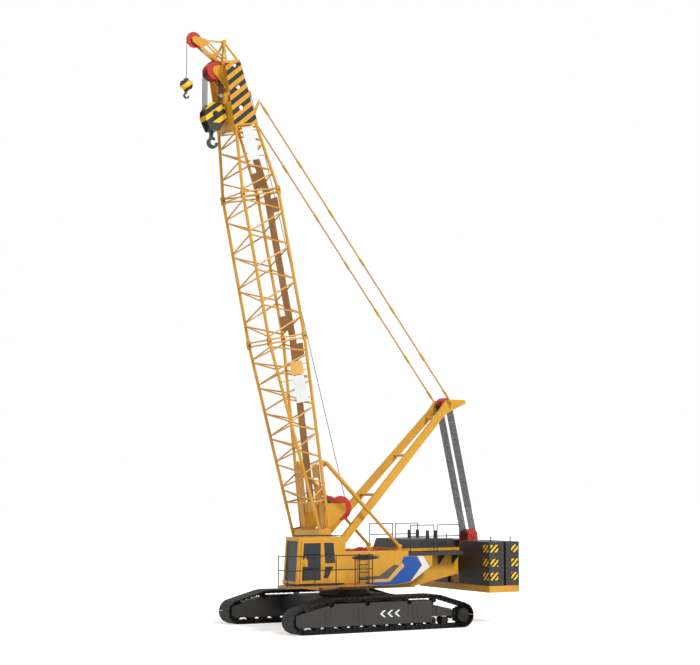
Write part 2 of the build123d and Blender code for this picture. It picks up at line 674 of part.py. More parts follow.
with BuildPart() as cab_front:
    front = ((CAB_FRONT - CAB_WALL, FLOOR), (CAB_FRONT, FLOOR), (CAB_FRONT - LEAN, CEILING),
             (CAB_FRONT - LEAN - CAB_WALL, CEILING))
    side_plate(front, (CAB_RIGHT + CAB_WALL, CAB_LEFT - CAB_WALL))
    box((CAB_FRONT - 300, CAB_FRONT + 10), (CAB_RIGHT + CAB_WALL + 50, CAB_LEFT - CAB_WALL - 50),
        (FLOOR + 90, CEILING - 80), Mode.SUBTRACT)
save(cab_front, "cab_front_frame")

with BuildPart() as cab_roof:
    box((CAB_REAR - 60, CAB_FRONT - LEAN), (CAB_RIGHT, CAB_LEFT), (CEILING, CAB_TOP))
save(cab_roof, "cab_roof")

with BuildPart() as cab_door:
    skin = 40.0
    near = CAB_LEFT + GAP
    outline = ((DOOR_REAR - 40, FLOOR + 10), (DOOR_FRONT + 60, FLOOR + 10), (DOOR_FRONT - 40, CEILING - 60),
               (DOOR_REAR - 40, CEILING - 60))
    side_plate(outline, (near, near + skin))
    pane = ((DOOR_REAR + 70, FLOOR + 120), (DOOR_FRONT - 30, FLOOR + 120), (DOOR_FRONT - 110, CEILING - 150),
            (DOOR_REAR + 70, CEILING - 150))
    side_plate(pane, (near - 1, near + skin + 1), Mode.SUBTRACT)
save(cab_door, "cab_door")

with BuildPart() as door_glass:
    side_plate(pane, (near + 14, near + 22))
save(door_glass, "cab_door_glass")

with BuildPart() as seat:
    box((2050, 2550), (1590, 2090), (2180, 2300))
    side_plate(((2050, 2300), (2160, 2300), (2060, 2900), (1960, 2900)), (1600, 2080))
    box((2150, 2450), (1700, 1980), (FLOOR, 2180))
save(seat, "operator_seat")

# ================================================================ boom
# stations along the boom: distance from the foot pin, width, depth, and middle's offset forward
STATIONS = (
    (FOOT_PLATE_LENGTH, FOOT_WIDTH, FOOT_DEPTH, 0.0),
    (INSERT_FROM, BOOM_WIDTH, BOOM_DEPTH, 0.0),
    (TOP_FROM, BOOM_WIDTH, BOOM_DEPTH, 0.0),
    (NECK, NECK_WIDTH, NECK_DEPTH, NECK_OFFSET),
)
# signs forward and to the left, in order round the boom
FRONT_LEFT, FRONT_RIGHT, REAR_RIGHT, REAR_LEFT = CORNERS = ((1, 1), (1, -1), (-1, -1), (-1, 1))


def chord_at(at, corner):
    """Centre of a chord at a distance along the boom."""
    for low, high in zip(STATIONS, STATIONS[1:]):
        if at <= high[0]:
            break
    share = (at - low[0]) / (high[0] - low[0])
    width, depth, offset = (a + (b - a) * share for a, b in zip(low[1:], high[1:]))
    fore, left = corner
    return on_boom(at, offset + fore * depth / 2, left * width / 2)


def build_chords(name, start, end):
    """Four chords whose ends are square to the boom."""
    with BuildPart() as chords:
        for corner in CORNERS:
            low, high = chord_at(start, corner), chord_at(end, corner)
            with BuildSketch(Plane(origin=low, x_dir=FORE, z_dir=ALONG)) as section:
                Circle(CHORD)
            extrude(section.sketch, amount=(high - low).length, dir=(high - low).normalized())
    save(chords, name)


def lacing(low, high, low_way, high_way):
    """A tube between two chords, cut along the faces where it meets them."""
    way = (high - low).normalized()
    tube = rod(low, high, LACING, mode=Mode.PRIVATE)
    for point, chord_way, sign in ((low, low_way, 1), (high, high_way, -1)):
        outward = (way - chord_way * way.dot(chord_way)).normalized() * sign
        cut = Plane(origin=point + outward * CHORD, z_dir=outward)
        tube = split(tube, bisect_by=cut, keep=Keep.TOP, mode=Mode.PRIVATE)
    return tube


def build_lacings(name, start, end, bays, shift=60.0, edge=75.0):
    """Zigzag and end lacings of the four faces, from one chord to the next."""
    ways = [(chord_at(end, c) - chord_at(start + 1, c)).normalized() for c in CORNERS]
    pitch = (end - start - 2 * edge - 2 * shift) / bays
    tubes = []
    for face, corner in enumerate(CORNERS):
        following = (face + 1) % 4
        ends = (corner, CORNERS[following])
        way = (ways[face], ways[following])
        flip = face % 2
        for at in (start + edge, end - edge):
            tubes.append(lacing(chord_at(at, ends[0]), chord_at(at, ends[1]), *way))
        for bay in range(bays):
            low = start + edge + shift + bay * pitch
            middle = low + pitch / 2
            first, second = (ends, way) if not flip else (ends[::-1], way[::-1])
            tubes.append(lacing(chord_at(low + shift, first[0]), chord_at(middle - shift, first[1]), *second))
            tubes.append(lacing(chord_at(middle + shift, first[1]), chord_at(low + pitch - shift, first[0]),
                                second[1], second[0]))
    with BuildPart() as lacings:
        add(tubes)
    save(lacings, name)


build_chords("boom_base_chords", FOOT_PLATE_LENGTH, INSERT_FROM)
build_lacings("boom_base_lacings", FOOT_PLATE_LENGTH + 1000, INSERT_FROM, BASE_BAYS)
build_chords("boom_insert_chords", INSERT_FROM, TOP_FROM)
build_lacings("boom_insert_lacings", INSERT_FROM, TOP_FROM, INSERT_BAYS)
build_chords("boom_top_chords", TOP_FROM, NECK)
build_lacings("boom_top_lacings", TOP_FROM, NECK, TOP_BAYS)


def in_plane(points, y, mode=Mode.ADD):
    """A plate parallel to XZ whose corners are given along the boom and forward of its middle."""
    corners = [on_boom(at, fore) for at, fore in points]
    side_plate([(p.X, p.Z) for p in corners], y, mode)


def rear_line(ends, inward):
    """Two points (along, forward) on the line of the rear chords, moved forward by a distance."""
    line = []
    for at in ends:
        chord = chord_at(at, REAR_LEFT)
        line.append((at, (chord - on_boom(at, 0, chord.Y)).dot(FORE) + inward))
    return line


def boom_bar(at, fore, y, radius, mode=Mode.ADD):
    place = on_boom(at, fore)
    cross_bar(place.X, place.Z, y, radius, mode)


REAR_PLATE_TOP = 3700.0
with BuildPart() as boom_foot:
    end = FOOT_DEPTH / 2 + CHORD
    for name, side in SIDES:
        faces = (side * (FOOT_WIDTH - FOOT_PLATE) / 2, side * (FOOT_WIDTH + FOOT_PLATE) / 2)
        in_plane(((0, LUG_RADIUS), (FOOT_PLATE_LENGTH, end), (FOOT_PLATE_LENGTH, -end), (0, -LUG_RADIUS)), faces)
        boom_bar(0, 0, faces, LUG_RADIUS)
        boom_bar(0, 0, (faces[0] - side, faces[1] + side), PIN_RADIUS + BORE_FIT, Mode.SUBTRACT)
        bracket = ((1000, -120), (2150, -150), (2150, -400), (1950, -1400), (1600, -1400), (1000, -300))
        in_plane(bracket, (side * WINCH_HALF, side * (WINCH_HALF + 40)))
        # plates inside the rear face, along the walkway
        rear = rear_line((1150, REAR_PLATE_TOP), LACING + 8)
        in_plane(rear + [(at, fore + 30) for at, fore in rear[::-1]], (side * 420, side * 985))
    boom_bar(3000, -250, (WINCH_HALF - 110, WINCH_HALF + 300), 190, Mode.SUBTRACT)
    inner = (FOOT_WIDTH - FOOT_PLATE) / 2 + 5
    in_plane(((950, 190), (1200, 190), (1200, -190), (950, -190)), (-inner, inner))
    reach = chord_at(2100, REAR_LEFT).Y - CHORD - 2
    in_plane(((1850, -200), (2100, -200), (2100, -320), (1850, -320)), (-reach, reach))
save(boom_foot, "boom_foot")

with BuildPart() as boom_winch:
    place = on_boom(WINCH_AT, WINCH_FORE)
    wheel(place.X, 0, place.Z, drum_profile(WINCH_HALF - 30, WINCH_FLANGE, WINCH_CORE, WINCH_HALF))
save(boom_winch, "boom_winch")

HEAD_PLATE = 60.0
JIB_PIN_RADIUS = 35.0  # bores for the foot pins of a fly jib
JIB_PIN_AT = CROWN - 230
JIB_PIN_FORE = 370.0
FRONT_PLATE_LENGTH = 1000.0  # it ends below the falls
NEST_HALF = 250.0  # from the middle to the plates that carry the main sheaves
TIP_HALF = 100.0
with BuildPart() as boom_head:
    rear_low, front_low = NECK_OFFSET - NECK_DEPTH / 2 - CHORD, NECK_OFFSET + NECK_DEPTH / 2 + CHORD
    rear_high, front_high = CROWN_OFFSET - CROWN_DEPTH / 2 - CHORD, CROWN_OFFSET + CROWN_DEPTH / 2 + CHORD
    outline = ((NECK, rear_low), (NECK, front_low), (CROWN, front_high), (CROWN, rear_high))
    inner, outer = NECK_WIDTH / 2 - HEAD_PLATE / 2, NECK_WIDTH / 2 + HEAD_PLATE / 2
    for name, side in SIDES:
        through = (side * (inner - 1), side * (outer + 1))
        in_plane(outline, (side * inner, side * outer))
        # lightening holes: along, forward, radius
        for at, fore, radius in ((NECK + 680, 130, 100), (NECK + 1510, 110, 100), (NECK + 2350, 90, 80)):
            boom_bar(at, fore, through, radius, Mode.SUBTRACT)
        boom_bar(JIB_PIN_AT, JIB_PIN_FORE, through, JIB_PIN_RADIUS, Mode.SUBTRACT)
    # front plate with its two slots, following the front edge
    drop = (front_low - front_high) / (CROWN - NECK)
    top = NECK + FRONT_PLATE_LENGTH
    fronts = ((NECK, front_low - 20), (top, front_low - 20 - drop * FRONT_PLATE_LENGTH))
    in_plane((fronts[0], fronts[1], (top, fronts[1][1] - 40), (NECK, front_low - 60)), (-inner - 5, inner + 5))
    for at, wide, tall in ((NECK + 400, 600, 330), (NECK + 820, 330, 170)):
        place = on_boom(at, front_low - 100)
        with BuildSketch(Plane(origin=place, x_dir=(0, 1, 0), z_dir=FORE)):
            SlotOverall(wide, tall)
        extrude(amount=140, mode=Mode.SUBTRACT)
    # cross plates between the side plates: along from, along to, fore from, fore to
    for low, high, back, front in (
        (NECK + 30, NECK + 330, -400, -300), (CROWN - 1490, CROWN - 1050, -330, -230),
        (CROWN - 60, CROWN, rear_high + 20, 290), (CROWN - 1000, CROWN - 880, 60, 180),
    ):
        in_plane(((low, back), (low, front), (high, front), (high, back)), (-inner - 5, inner + 5))
    cheek = ((CROWN - 1050, 40), (CROWN - 30, 100), (CROWN - 30, 290), (HEAD_AXLE_AT + 170, HEAD_AXLE_FORE + 30),
             (HEAD_AXLE_AT + 60, HEAD_AXLE_FORE + 130), (HEAD_AXLE_AT - 90, HEAD_AXLE_FORE + 120), (CROWN - 1000, 300))
    guide = ((GUIDE_AT - 250, GUIDE_FORE + 310), (GUIDE_AT + 150, GUIDE_FORE + 310), (GUIDE_AT + 200, GUIDE_FORE - 60),
             (GUIDE_AT, GUIDE_FORE - 140), (GUIDE_AT - 200, GUIDE_FORE - 60))
    lug = ((NECK + 60, -300), (NECK + 320, -300), (PENDANT_AT + 70, PENDANT_FORE), (PENDANT_AT - 70, PENDANT_FORE))
    for name, side in SIDES:
        in_plane(cheek, (side * NEST_HALF, side * (NEST_HALF + CHEEK)))
        in_plane(guide, (side * 150, side * 180))
        in_plane(lug, (side * (PENDANT_Y - 25), side * (PENDANT_Y + 25)))
        for fore in (rear_high + 60, front_high - 60):
            rod(on_boom(CROWN - 60, fore, side * NECK_WIDTH / 2), APEX, 42)
    cross_bar(APEX.X, APEX.Z, (-90, 90), 80)
save(boom_head, "boom_head")

MAIN_SHEAVE_Y = [(index - (HEAD_SHEAVE_COUNT - 1) / 2) * HEAD_SHEAVE_PITCH for index in range(HEAD_SHEAVE_COUNT)]
GUIDE_Y = (-75, 75)
with BuildPart() as head_sheaves:
    sheaves(HEAD_AXLE.X, 0, HEAD_AXLE.Z, MAIN_SHEAVE_Y, HEAD_SHEAVE, NEST_HALF)
    sheaves(TIP_AXLE.X, 0, TIP_AXLE.Z, (0,), TIP_SHEAVE, TIP_HALF)
    sheaves(GUIDE_AXLE.X, 0, GUIDE_AXLE.Z, GUIDE_Y, GUIDE_SHEAVE, 150)
    # hood over the main sheaves, clear of the falls at every angle of the boom
    with BuildSketch(Plane.XZ.offset(-NEST_HALF)):
        with Locations((HEAD_AXLE.X, HEAD_AXLE.Z)):
            Circle(HEAD_SHEAVE + 50)
            Circle(HEAD_SHEAVE + 34, mode=Mode.SUBTRACT)
            reach = HEAD_SHEAVE * 3
            Polygon((0, 0), (reach * cos(radians(52)), reach * sin(radians(52))), (0, reach * 1.2),
                    (-reach, 0), align=None, mode=Mode.INTERSECT)
    extrude(amount=2 * NEST_HALF)
save(head_sheaves, "head_sheaves")

with BuildPart() as tip_jib:
    arm = (
        (CROWN, -60), (CROWN, 280), (CROWN + 190, 545), (TIP_AXLE_AT - 290, TIP_AXLE_FORE - 130),
        (TIP_AXLE_AT - 80, TIP_AXLE_FORE + 120), (TIP_AXLE_AT + 90, TIP_AXLE_FORE + 110),
        (TIP_AXLE_AT + 120, TIP_AXLE_FORE - 60), (TIP_AXLE_AT - 30, TIP_AXLE_FORE - 460), (CROWN + 420, 250),
        (CROWN + 60, -60),
    )
    # openings between the arm's two chords: corners along and forward, from the crown
    openings = (((120, 60), (120, 300), (340, 550), (400, 320)), ((500, 400), (440, 650), (740, 960), (840, 660)))
    for name, side in SIDES:
        in_plane(arm, (side * TIP_HALF, side * (TIP_HALF + 30)))
        for opening in openings:
            in_plane([(CROWN + at, fore) for at, fore in opening], (side * (TIP_HALF - 1), side * (TIP_HALF + 31)),
                     Mode.SUBTRACT)
        stay = on_boom(TIP_AXLE_AT - 60, TIP_AXLE_FORE - 380, side * (TIP_HALF + 15))
        way = (stay - APEX).normalized()
        rod(APEX + way * 90 + Vector(0, side * 40, 0), stay, 16, 6)
    for at, fore in ((CROWN + 50, 100), (CROWN + 420, 480), (CROWN + 880, 900)):
        boom_bar(at, fore, (-TIP_HALF - 10, TIP_HALF + 10), 45)
save(tip_jib, "tip_jib")

with BuildPart() as backstops:
    seat = Vector(BACKSTOP_X, 0, HOUSING_TOP + 60 + GAP + BACKSTOP_RADIUS * 1.5)
    top_fore = rear_line((BACKSTOP_AT, BACKSTOP_AT), -180)[0][1]
    top = on_boom(BACKSTOP_AT, top_fore)
    chord = chord_at(BACKSTOP_AT, REAR_LEFT)
    lug = ((BACKSTOP_AT - 130, top_fore + 90), (BACKSTOP_AT + 130, top_fore + 80), (BACKSTOP_AT + 80, top_fore - 70),
           (BACKSTOP_AT - 80, top_fore - 70))
    for name, side in SIDES:
        lift = Vector(0, side * BACKSTOP_Y, 0)
        low, high = seat + lift, top + lift
        bar(low, high, BACKSTOP_RADIUS)
        bar(low + (high - low) * 0.45, high, BACKSTOP_RADIUS * 1.3)
        cross_bar(low.X, low.Z, (low.Y - 60, low.Y + 60), BACKSTOP_RADIUS * 1.5)
        cross_bar(top.X, top.Z, (side * (chord.Y - 40), side * (BACKSTOP_Y + 90)), 45)
        in_plane(lug, (side * (chord.Y - 30), side * (chord.Y + 30)))
save(backstops, "backstops")

# walkway inside the rear face, and a landing beside it near each joint of the boom
WALK_HALF = 260.0
WALK_FROM = 2150.0
with BuildPart() as walkway:
    runs = ((WALK_FROM, INSERT_FROM - 20), (INSERT_FROM + 20, TOP_FROM - 20), (TOP_FROM + 20, NECK - 150))
    strips = [(low, high, -WALK_HALF, WALK_HALF) for low, high in runs]
    for joint in (INSERT_FROM, TOP_FROM):
        strips.append((joint - 820, joint - 260, WALK_HALF, 780))
        strips.append((joint + 300, joint + 900, -780, -WALK_HALF))
    for low, high, right, left in strips:
        rear = rear_line((low, high), LACING + 3)
        in_plane(rear + [(at, fore + 30) for at, fore in rear[::-1]], (right, left))
save(walkway, "boom_walkway")

with BuildPart() as pendants:
    for name, side in SIDES:
        start = on_boom(PENDANT_AT, PENDANT_FORE, side * PENDANT_Y)
        end = on_mast(MAST_LENGTH, 0, side * PENDANT_Y)
        way = (end - start).normalized()
        rod(start + way * 76, end - way * (PIN_RADIUS + GAP), PENDANT_RADIUS)
save(pendants, "boom_pendants")

# ================================================================ mast
with BuildPart() as mast:
    def mast_plate(points, y, mode=Mode.ADD):
        corners = [on_mast(at, back) for at, back in points]
        side_plate([(p.X, p.Z) for p in corners], y, mode)

    foot_end, head_end, half = 700, MAST_LENGTH - 514, MAST_DEPTH / 2
    for name, side in SIDES:
        faces = [side * (MAST_FOOT_Y - MAST_THICK / 2), side * (MAST_FOOT_Y + MAST_THICK / 2)]
        mast_plate(((0, -half), (foot_end, -half), (foot_end, half), (0, half)), faces)
        cross_bar(PIN_X, PIN_Z, faces, half)
        cross_bar(PIN_X, PIN_Z, (faces[0] - side, faces[1] + side), PIN_RADIUS + BORE_FIT, Mode.SUBTRACT)
        for at, y in ((foot_end - 1, MAST_FOOT_Y), (head_end + 1, MAST_HEAD_Y)):
            with BuildSketch(Plane(origin=on_mast(at, 0, side * y), x_dir=MAST_BACK, z_dir=MAST_ALONG)):
                Rectangle(MAST_DEPTH, MAST_THICK)
        loft(ruled=True)
        head = ((head_end, -half), (MAST_LENGTH, -half - 60), (MAST_LENGTH + 220, 0), (MAST_LENGTH + 620, 420),
                (MAST_LENGTH + 540, 540), (MAST_LENGTH - 100, 280), (head_end, half))
        faces = [side * (MAST_HEAD_Y - MAST_THICK / 2), side * (MAST_HEAD_Y + MAST_THICK / 2)]
        mast_plate(head, faces)
        cross_bar(MAST_HEAD.X, MAST_HEAD.Z, (faces[1] - side * 5, side * (PENDANT_Y + 60)), PIN_RADIUS)
    # cross tubes between the legs, and the one at the tip: share of the leg's length, radius
    for share, radius in ((0.375, 55), (0.67, 55), (0.955, 70)):
        at = foot_end + (head_end - foot_end) * share
        reach = MAST_FOOT_Y + (MAST_HEAD_Y - MAST_FOOT_Y) * share - MAST_THICK / 2 + 15
        place = on_mast(at)
        cross_bar(place.X, place.Z, (-reach, reach), radius)
    place = on_mast(MAST_LENGTH + 520, 420)
    cross_bar(place.X, place.Z, (-MAST_HEAD_Y, MAST_HEAD_Y), 60)
save(mast, "mast_frame")

with BuildPart() as mast_sheaves:
    sheaves(MAST_HEAD.X, 0, MAST_HEAD.Z, UPPER_ROPE_Y, LUFF_SHEAVE, MAST_HEAD_Y - MAST_THICK / 2)
save(mast_sheaves, "mast_head_sheaves")

LUFF_ROPE_LENGTH = (MAST_HEAD - LOWER_BLOCK).length
LUFF_WAY = (MAST_HEAD - LOWER_BLOCK).normalized()
LUFF_SIDE = Vector(-LUFF_WAY.Z, 0, LUFF_WAY.X)


def build_luffing_ropes(name, start, way, places):
    with BuildPart() as ropes:
        for y in places:
            for sign in (1, -1):
                low = start + LUFF_SIDE * (sign * LUFF_SHEAVE) + Vector(0, y, 0)
                rod(low, low + way * LUFF_ROPE_LENGTH, LUFF_ROPE, 6)
    save(ropes, name)


build_luffing_ropes("luffing_ropes_lower", LOWER_BLOCK, LUFF_WAY, LOWER_ROPE_Y)
build_luffing_ropes("luffing_ropes_upper", MAST_HEAD, -LUFF_WAY, UPPER_ROPE_Y)

with BuildPart() as hoist_line:
    low = on_boom(WINCH_AT, WINCH_FORE - WINCH_CORE - HOIST_ROPE - GAP, WINCH_HALF - 130)
    rod(low, on_boom(GUIDE_AT, GUIDE_FORE - GUIDE_SHEAVE, GUIDE_Y[1]), HOIST_ROPE, 6)
save(hoist_line, "hoist_line")

# ================================================================ hooks
BLOCK_AXLE = HEAD_AXLE - Vector(0, 0, BLOCK_DROP)
with BuildPart() as falls:
    for y in MAIN_SHEAVE_Y:
        for sign in (1, -1):
            top = HEAD_AXLE + Vector(sign * HEAD_SHEAVE, y, 0)
            rod(top, top - Vector(0, 0, BLOCK_DROP), HOIST_ROPE, 6)
save(falls, "hoist_falls")


def hook_outline(centre_z, bowl, throat, shank_top, shank):
    """A hook's outline about its bowl's centre: bowl, point and shank."""
    with BuildSketch() as hook:
        with Locations((0, centre_z)):
            Circle(bowl)
        with Locations((-throat * 0.15, centre_z + throat * 0.1)):
            Circle(throat, mode=Mode.SUBTRACT)
        with Locations((-bowl, centre_z + bowl * 0.55)):
            Rectangle(bowl * 1.2, bowl * 0.9, mode=Mode.SUBTRACT)
        with Locations((bowl * 0.25, (centre_z + bowl * 0.8 + shank_top) / 2)):
            Rectangle(shank, shank_top - centre_z - bowl * 0.8)
    return hook.sketch


with BuildPart() as hook_block:
    x, z = BLOCK_AXLE.X, BLOCK_AXLE.Z
    sheaves(x, 0, z, MAIN_SHEAVE_Y, HEAD_SHEAVE, BLOCK_HALF)
    cheek = ((x - 220, z + 440), (x + 220, z + 440), (x + 420, z + 130), (x + 420, z - 180), (x + 180, z - 640),
             (x - 180, z - 640), (x - 420, z - 180), (x - 420, z + 130))
    for side in (1, -1):
        side_plate(cheek, (side * BLOCK_HALF, side * (BLOCK_HALF + CHEEK)))
    box((x - 130, x + 130), (-BLOCK_HALF - 5, BLOCK_HALF + 5), (z - 640, z - 430))
    # spreaders between the cheeks, clear of the falls
    for place in (x - 150, x + 150):
        cross_bar(place, z + 385, (-BLOCK_HALF - 5, BLOCK_HALF + 5), 28)
save(hook_block, "hook_block")

with BuildPart() as main_hook:
    sketch = hook_outline(-1090, 225, 118, -642, 120)
    with BuildSketch(Plane(origin=(x, 60, z), x_dir=(1, 0, 0), z_dir=(0, -1, 0))):
        add(sketch)
    extrude(amount=120)
save(main_hook, "main_hook")

BALL = TIP_AXLE + Vector(TIP_SHEAVE, 0, -BALL_DROP)
with BuildPart() as ball_rope:
    rod(TIP_AXLE + Vector(TIP_SHEAVE, 0, 0), BALL + Vector(0, 0, 260), HOIST_ROPE, 8)
save(ball_rope, "ball_rope")

with BuildPart() as ball:
    with BuildSketch(Plane.XZ) as half:
        Polygon((0, 260), (70, 260), (110, 190), (230, 120), (250, 0), (230, -120), (90, -200), (60, -260), (0, -260),
                align=None)
    revolve(half.sketch, axis=Axis.Z)
    sketch = hook_outline(-420, 120, 62, -250, 60)
    with BuildSketch(Plane(origin=(0, 30, 0), x_dir=(1, 0, 0), z_dir=(0, -1, 0))):
        add(sketch)
    extrude(amount=60)
ball.part.position = BALL
save(ball, "ball_hook")

# ================================================================ rails and glass
RAIL = 22.0
with BuildPart() as handrails:
    top, middle_rail = DECK_TOP + 1150, DECK_TOP + 600
    corners = [(420, 2900), (1180, 2900), (2000, 2900), (2900, 2900), (4050, 2900), (4050, 2180)]
    for x, y in corners:
        rod(Vector(x, y, DECK_TOP), Vector(x, y, top), RAIL, 6)
    for (x, y), (to_x, to_y) in zip(corners, corners[1:]):
        for z in (top - 20, middle_rail):
            rod(Vector(x, y, z), Vector(to_x, to_y, z), RAIL - 3, 6)
    # hoops on the rear walkways: rear end, front end
    for side in (1, -1):
        y = side * (HOUSING_OUTER - 60)
        for low, high in ((-3180, -2080), (-4400, -3330)):
            for x in (low, high):
                rod(Vector(x, y, REAR_WALK_TOP), Vector(x, y, REAR_WALK_TOP + 1080), RAIL, 6)
            for rise in (1060, 620):
                rod(Vector(low, y, REAR_WALK_TOP + rise), Vector(high, y, REAR_WALK_TOP + rise), RAIL - 3, 6)
    # ladder from the crawler to the deck, with its two stiles and rungs
    for x in (-90, 330):
        rod(Vector(x, HOUSING_OUTER + 110, HOUSING_BOTTOM + 20), Vector(x, HOUSING_OUTER + 110, HOUSING_TOP - 60), RAIL, 6)
        for z in (HOUSING_BOTTOM + 120, HOUSING_TOP - 160):
            rod(Vector(x, HOUSING_OUTER, z), Vector(x, HOUSING_OUTER + 110, z), RAIL, 6)
    for rung in range(4):
        z = HOUSING_BOTTOM + 240 + rung * 290
        rod(Vector(-90, HOUSING_OUTER + 110, z), Vector(330, HOUSING_OUTER + 110, z), RAIL - 4, 6)
save(handrails, "handrails")

with BuildPart() as cab_glass:
    def windshield_x(z):
        return CAB_FRONT - LEAN * (z - FLOOR) / (CEILING - FLOOR)

    low, high = FLOOR + 92, CEILING - 82
    pane = ((windshield_x(low) - 38, low), (windshield_x(low) - 28, low), (windshield_x(high) - 28, high),
            (windshield_x(high) - 38, high))
    side_plate(pane, (CAB_RIGHT + CAB_WALL + 52, CAB_LEFT - CAB_WALL - 52))
    for window in (upper, lower):
        side_plate(window, (CAB_LEFT - 38, CAB_LEFT - 28))
    side_plate(((1700, 2350), (3180, 2350), (3130, CEILING - 120), (1700, CEILING - 120)),
               (CAB_RIGHT + 28, CAB_RIGHT + 38))
save(cab_glass, "cab_glass")
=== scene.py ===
"""Finishes and fittings of a crawler crane with a lattice boom, laid out as a Blender add-on."""

import json
import math

import bmesh
import bpy
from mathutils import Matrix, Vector


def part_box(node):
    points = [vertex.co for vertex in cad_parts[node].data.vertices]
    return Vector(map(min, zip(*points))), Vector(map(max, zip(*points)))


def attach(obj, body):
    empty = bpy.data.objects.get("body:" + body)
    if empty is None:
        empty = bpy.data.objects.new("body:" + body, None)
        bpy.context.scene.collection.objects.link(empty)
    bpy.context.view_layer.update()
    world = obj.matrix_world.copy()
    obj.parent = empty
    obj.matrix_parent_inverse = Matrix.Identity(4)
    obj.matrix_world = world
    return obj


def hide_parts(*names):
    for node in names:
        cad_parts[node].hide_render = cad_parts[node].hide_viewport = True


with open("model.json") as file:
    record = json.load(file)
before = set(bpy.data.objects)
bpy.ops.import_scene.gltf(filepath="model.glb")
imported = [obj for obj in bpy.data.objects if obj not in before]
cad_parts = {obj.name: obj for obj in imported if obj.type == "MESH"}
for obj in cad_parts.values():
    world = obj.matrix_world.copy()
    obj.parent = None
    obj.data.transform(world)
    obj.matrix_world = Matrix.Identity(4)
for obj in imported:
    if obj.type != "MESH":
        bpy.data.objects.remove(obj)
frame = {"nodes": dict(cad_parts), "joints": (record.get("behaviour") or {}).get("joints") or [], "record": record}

bl_info = {
    "name": "Crawler crane finishes",
    "version": (1, 0, 0),
    "blender": (4, 5, 0),
    "location": "View3D > Sidebar > Crane",
    "description": "Paint, livery, ropes and small fittings of a crawler crane",
    "category": "Object",
}

# ---------------------------------------------------------------- places, in metres
BOOM_ANGLE = math.radians(78.3)
ALONG = Vector((math.cos(BOOM_ANGLE), 0, math.sin(BOOM_ANGLE)))
FORE = Vector((math.sin(BOOM_ANGLE), 0, -math.cos(BOOM_ANGLE)))
JOINT_PLACES = {joint["name"]: Vector(joint["pos_m"]) for joint in frame["joints"] if "pos_m" in joint}
FOOT_PIN = JOINT_PLACES["boom_luff"]
SIDES = (("left", 1), ("right", -1))
LIFT = 0.003  # thickness of a film of paint on the plate under it
CHORD_RADIUS = 0.06
# the boom's sections: place along it, half width, front and rear chords forward of its middle
SECTIONS = (
    (1.25, 1.15, 0.21, -0.21),
    (8.72, 0.9, 0.775, -0.775),
    (14.49, 0.9, 0.775, -0.775),
    (17.14, 0.78, 0.5, -0.38),
)
HEAD_FOOT, HEAD_TOP = 17.2, 19.6  # the boom head's striped plates, along the boom
HEAD_HALF = 0.79  # they stand further out than this
ROPE_RADIUS = 0.016  # luffing ropes and hoist falls, thicker than the solids' so that they show
FALL_LENGTH = 1.72  # from the head's axle down to the hook block's
DRUM_CORE = 0.32
SHOES = 74
CAMERA_PLACE = (30.894, 54.858, 5.405)
CAMERA_WAY = (-0.49126, -0.86549, 0.09793)
CAMERA_LENS = 80.99


def on_boom(along, fore, y=0.0):
    """A point of the boom: along it from its foot pin, forward of its middle, and to the left."""
    return FOOT_PIN + ALONG * along + FORE * fore + Vector((0, y, 0))


def section(along):
    """Half width, front and rear chord of the boom at a place along it."""
    for low, high in zip(SECTIONS, SECTIONS[1:]):
        if along <= high[0]:
            share = (along - low[0]) / (high[0] - low[0])
            return [start + (end - start) * share for start, end in zip(low[1:], high[1:])]
    raise ValueError("the boom's lattice ends below this place")


def linear(code):
    """sRGB hex to a linear colour."""
    parts = [int(code[at:at + 2], 16) / 255 for at in (0, 2, 4)]
    return [part / 12.92 if part <= 0.04045 else ((part + 0.055) / 1.055) ** 2.4 for part in parts]


# ---------------------------------------------------------------- materials
CLOUD_LIMITS = (0.3, 0.7)
STREAK_LIMITS = (0.58, 0.8)
PEEL_HEIGHT = 0.0004


def add_node(tree, kind, inputs=None, **settings):
    """Adds a node: settings are its own options, inputs are values or the sockets that feed it."""
    node = tree.nodes.new(kind)
    for name, value in settings.items():
        setattr(node, name, value)
    for name, value in (inputs or {}).items():
        socket = node.inputs[name]
        if isinstance(value, bpy.types.NodeSocket):
            tree.links.new(value, socket)
        elif socket.type == "RGBA":
            socket.default_value = (*value[:3], 1)
        else:
            socket.default_value = value
    return node


def new_material(name):
    """Starts a material: its nodes, and the place on the piece, in metres, that patterns are laid by."""
    material = bpy.data.materials.new(name)
    material.use_nodes = True
    tree = material.node_tree
    tree.nodes.clear()
    return tree, add_node(tree, "ShaderNodeTexCoord").outputs["Object"]


def finish_material(tree, base, pattern, limits, roughness, relief, height, **constants):
    """Closes a material with one surface shader. Roughness goes from its first value to its second as the
    pattern goes between its limits, and height is how far the relief stands, in metres."""
    dulling = add_node(tree, "ShaderNodeMapRange", {
        "Value": pattern, "From Min": limits[0], "From Max": limits[1],
        "To Min": roughness[0], "To Max": roughness[1],
    })
    bump = add_node(tree, "ShaderNodeBump", {"Height": relief, "Distance": height, "Strength": 1.0})
    shader = add_node(tree, "ShaderNodeBsdfPrincipled", {
        "Base Color": base, "Roughness": dulling.outputs[0], "Normal": bump.outputs[0],
    })
    for name, value in constants.items():
        shader.inputs[name.replace("_", " ")].default_value = value
    add_node(tree, "ShaderNodeOutputMaterial", {"Surface": shader.outputs[0]})


def wash(tree, pattern, limits, under, over, most=1.0):
    """Lays one colour over another where a pattern is strong, up to a share."""
    share = add_node(tree, "ShaderNodeMapRange", {
        "Value": pattern, "From Min": limits[0], "From Max": limits[1], "To Min": 0.0, "To Max": most,
    }).outputs[0]
    return add_node(tree, "ShaderNodeMix", {0: share, 6: under, 7: over}, data_type="RGBA").outputs[2]


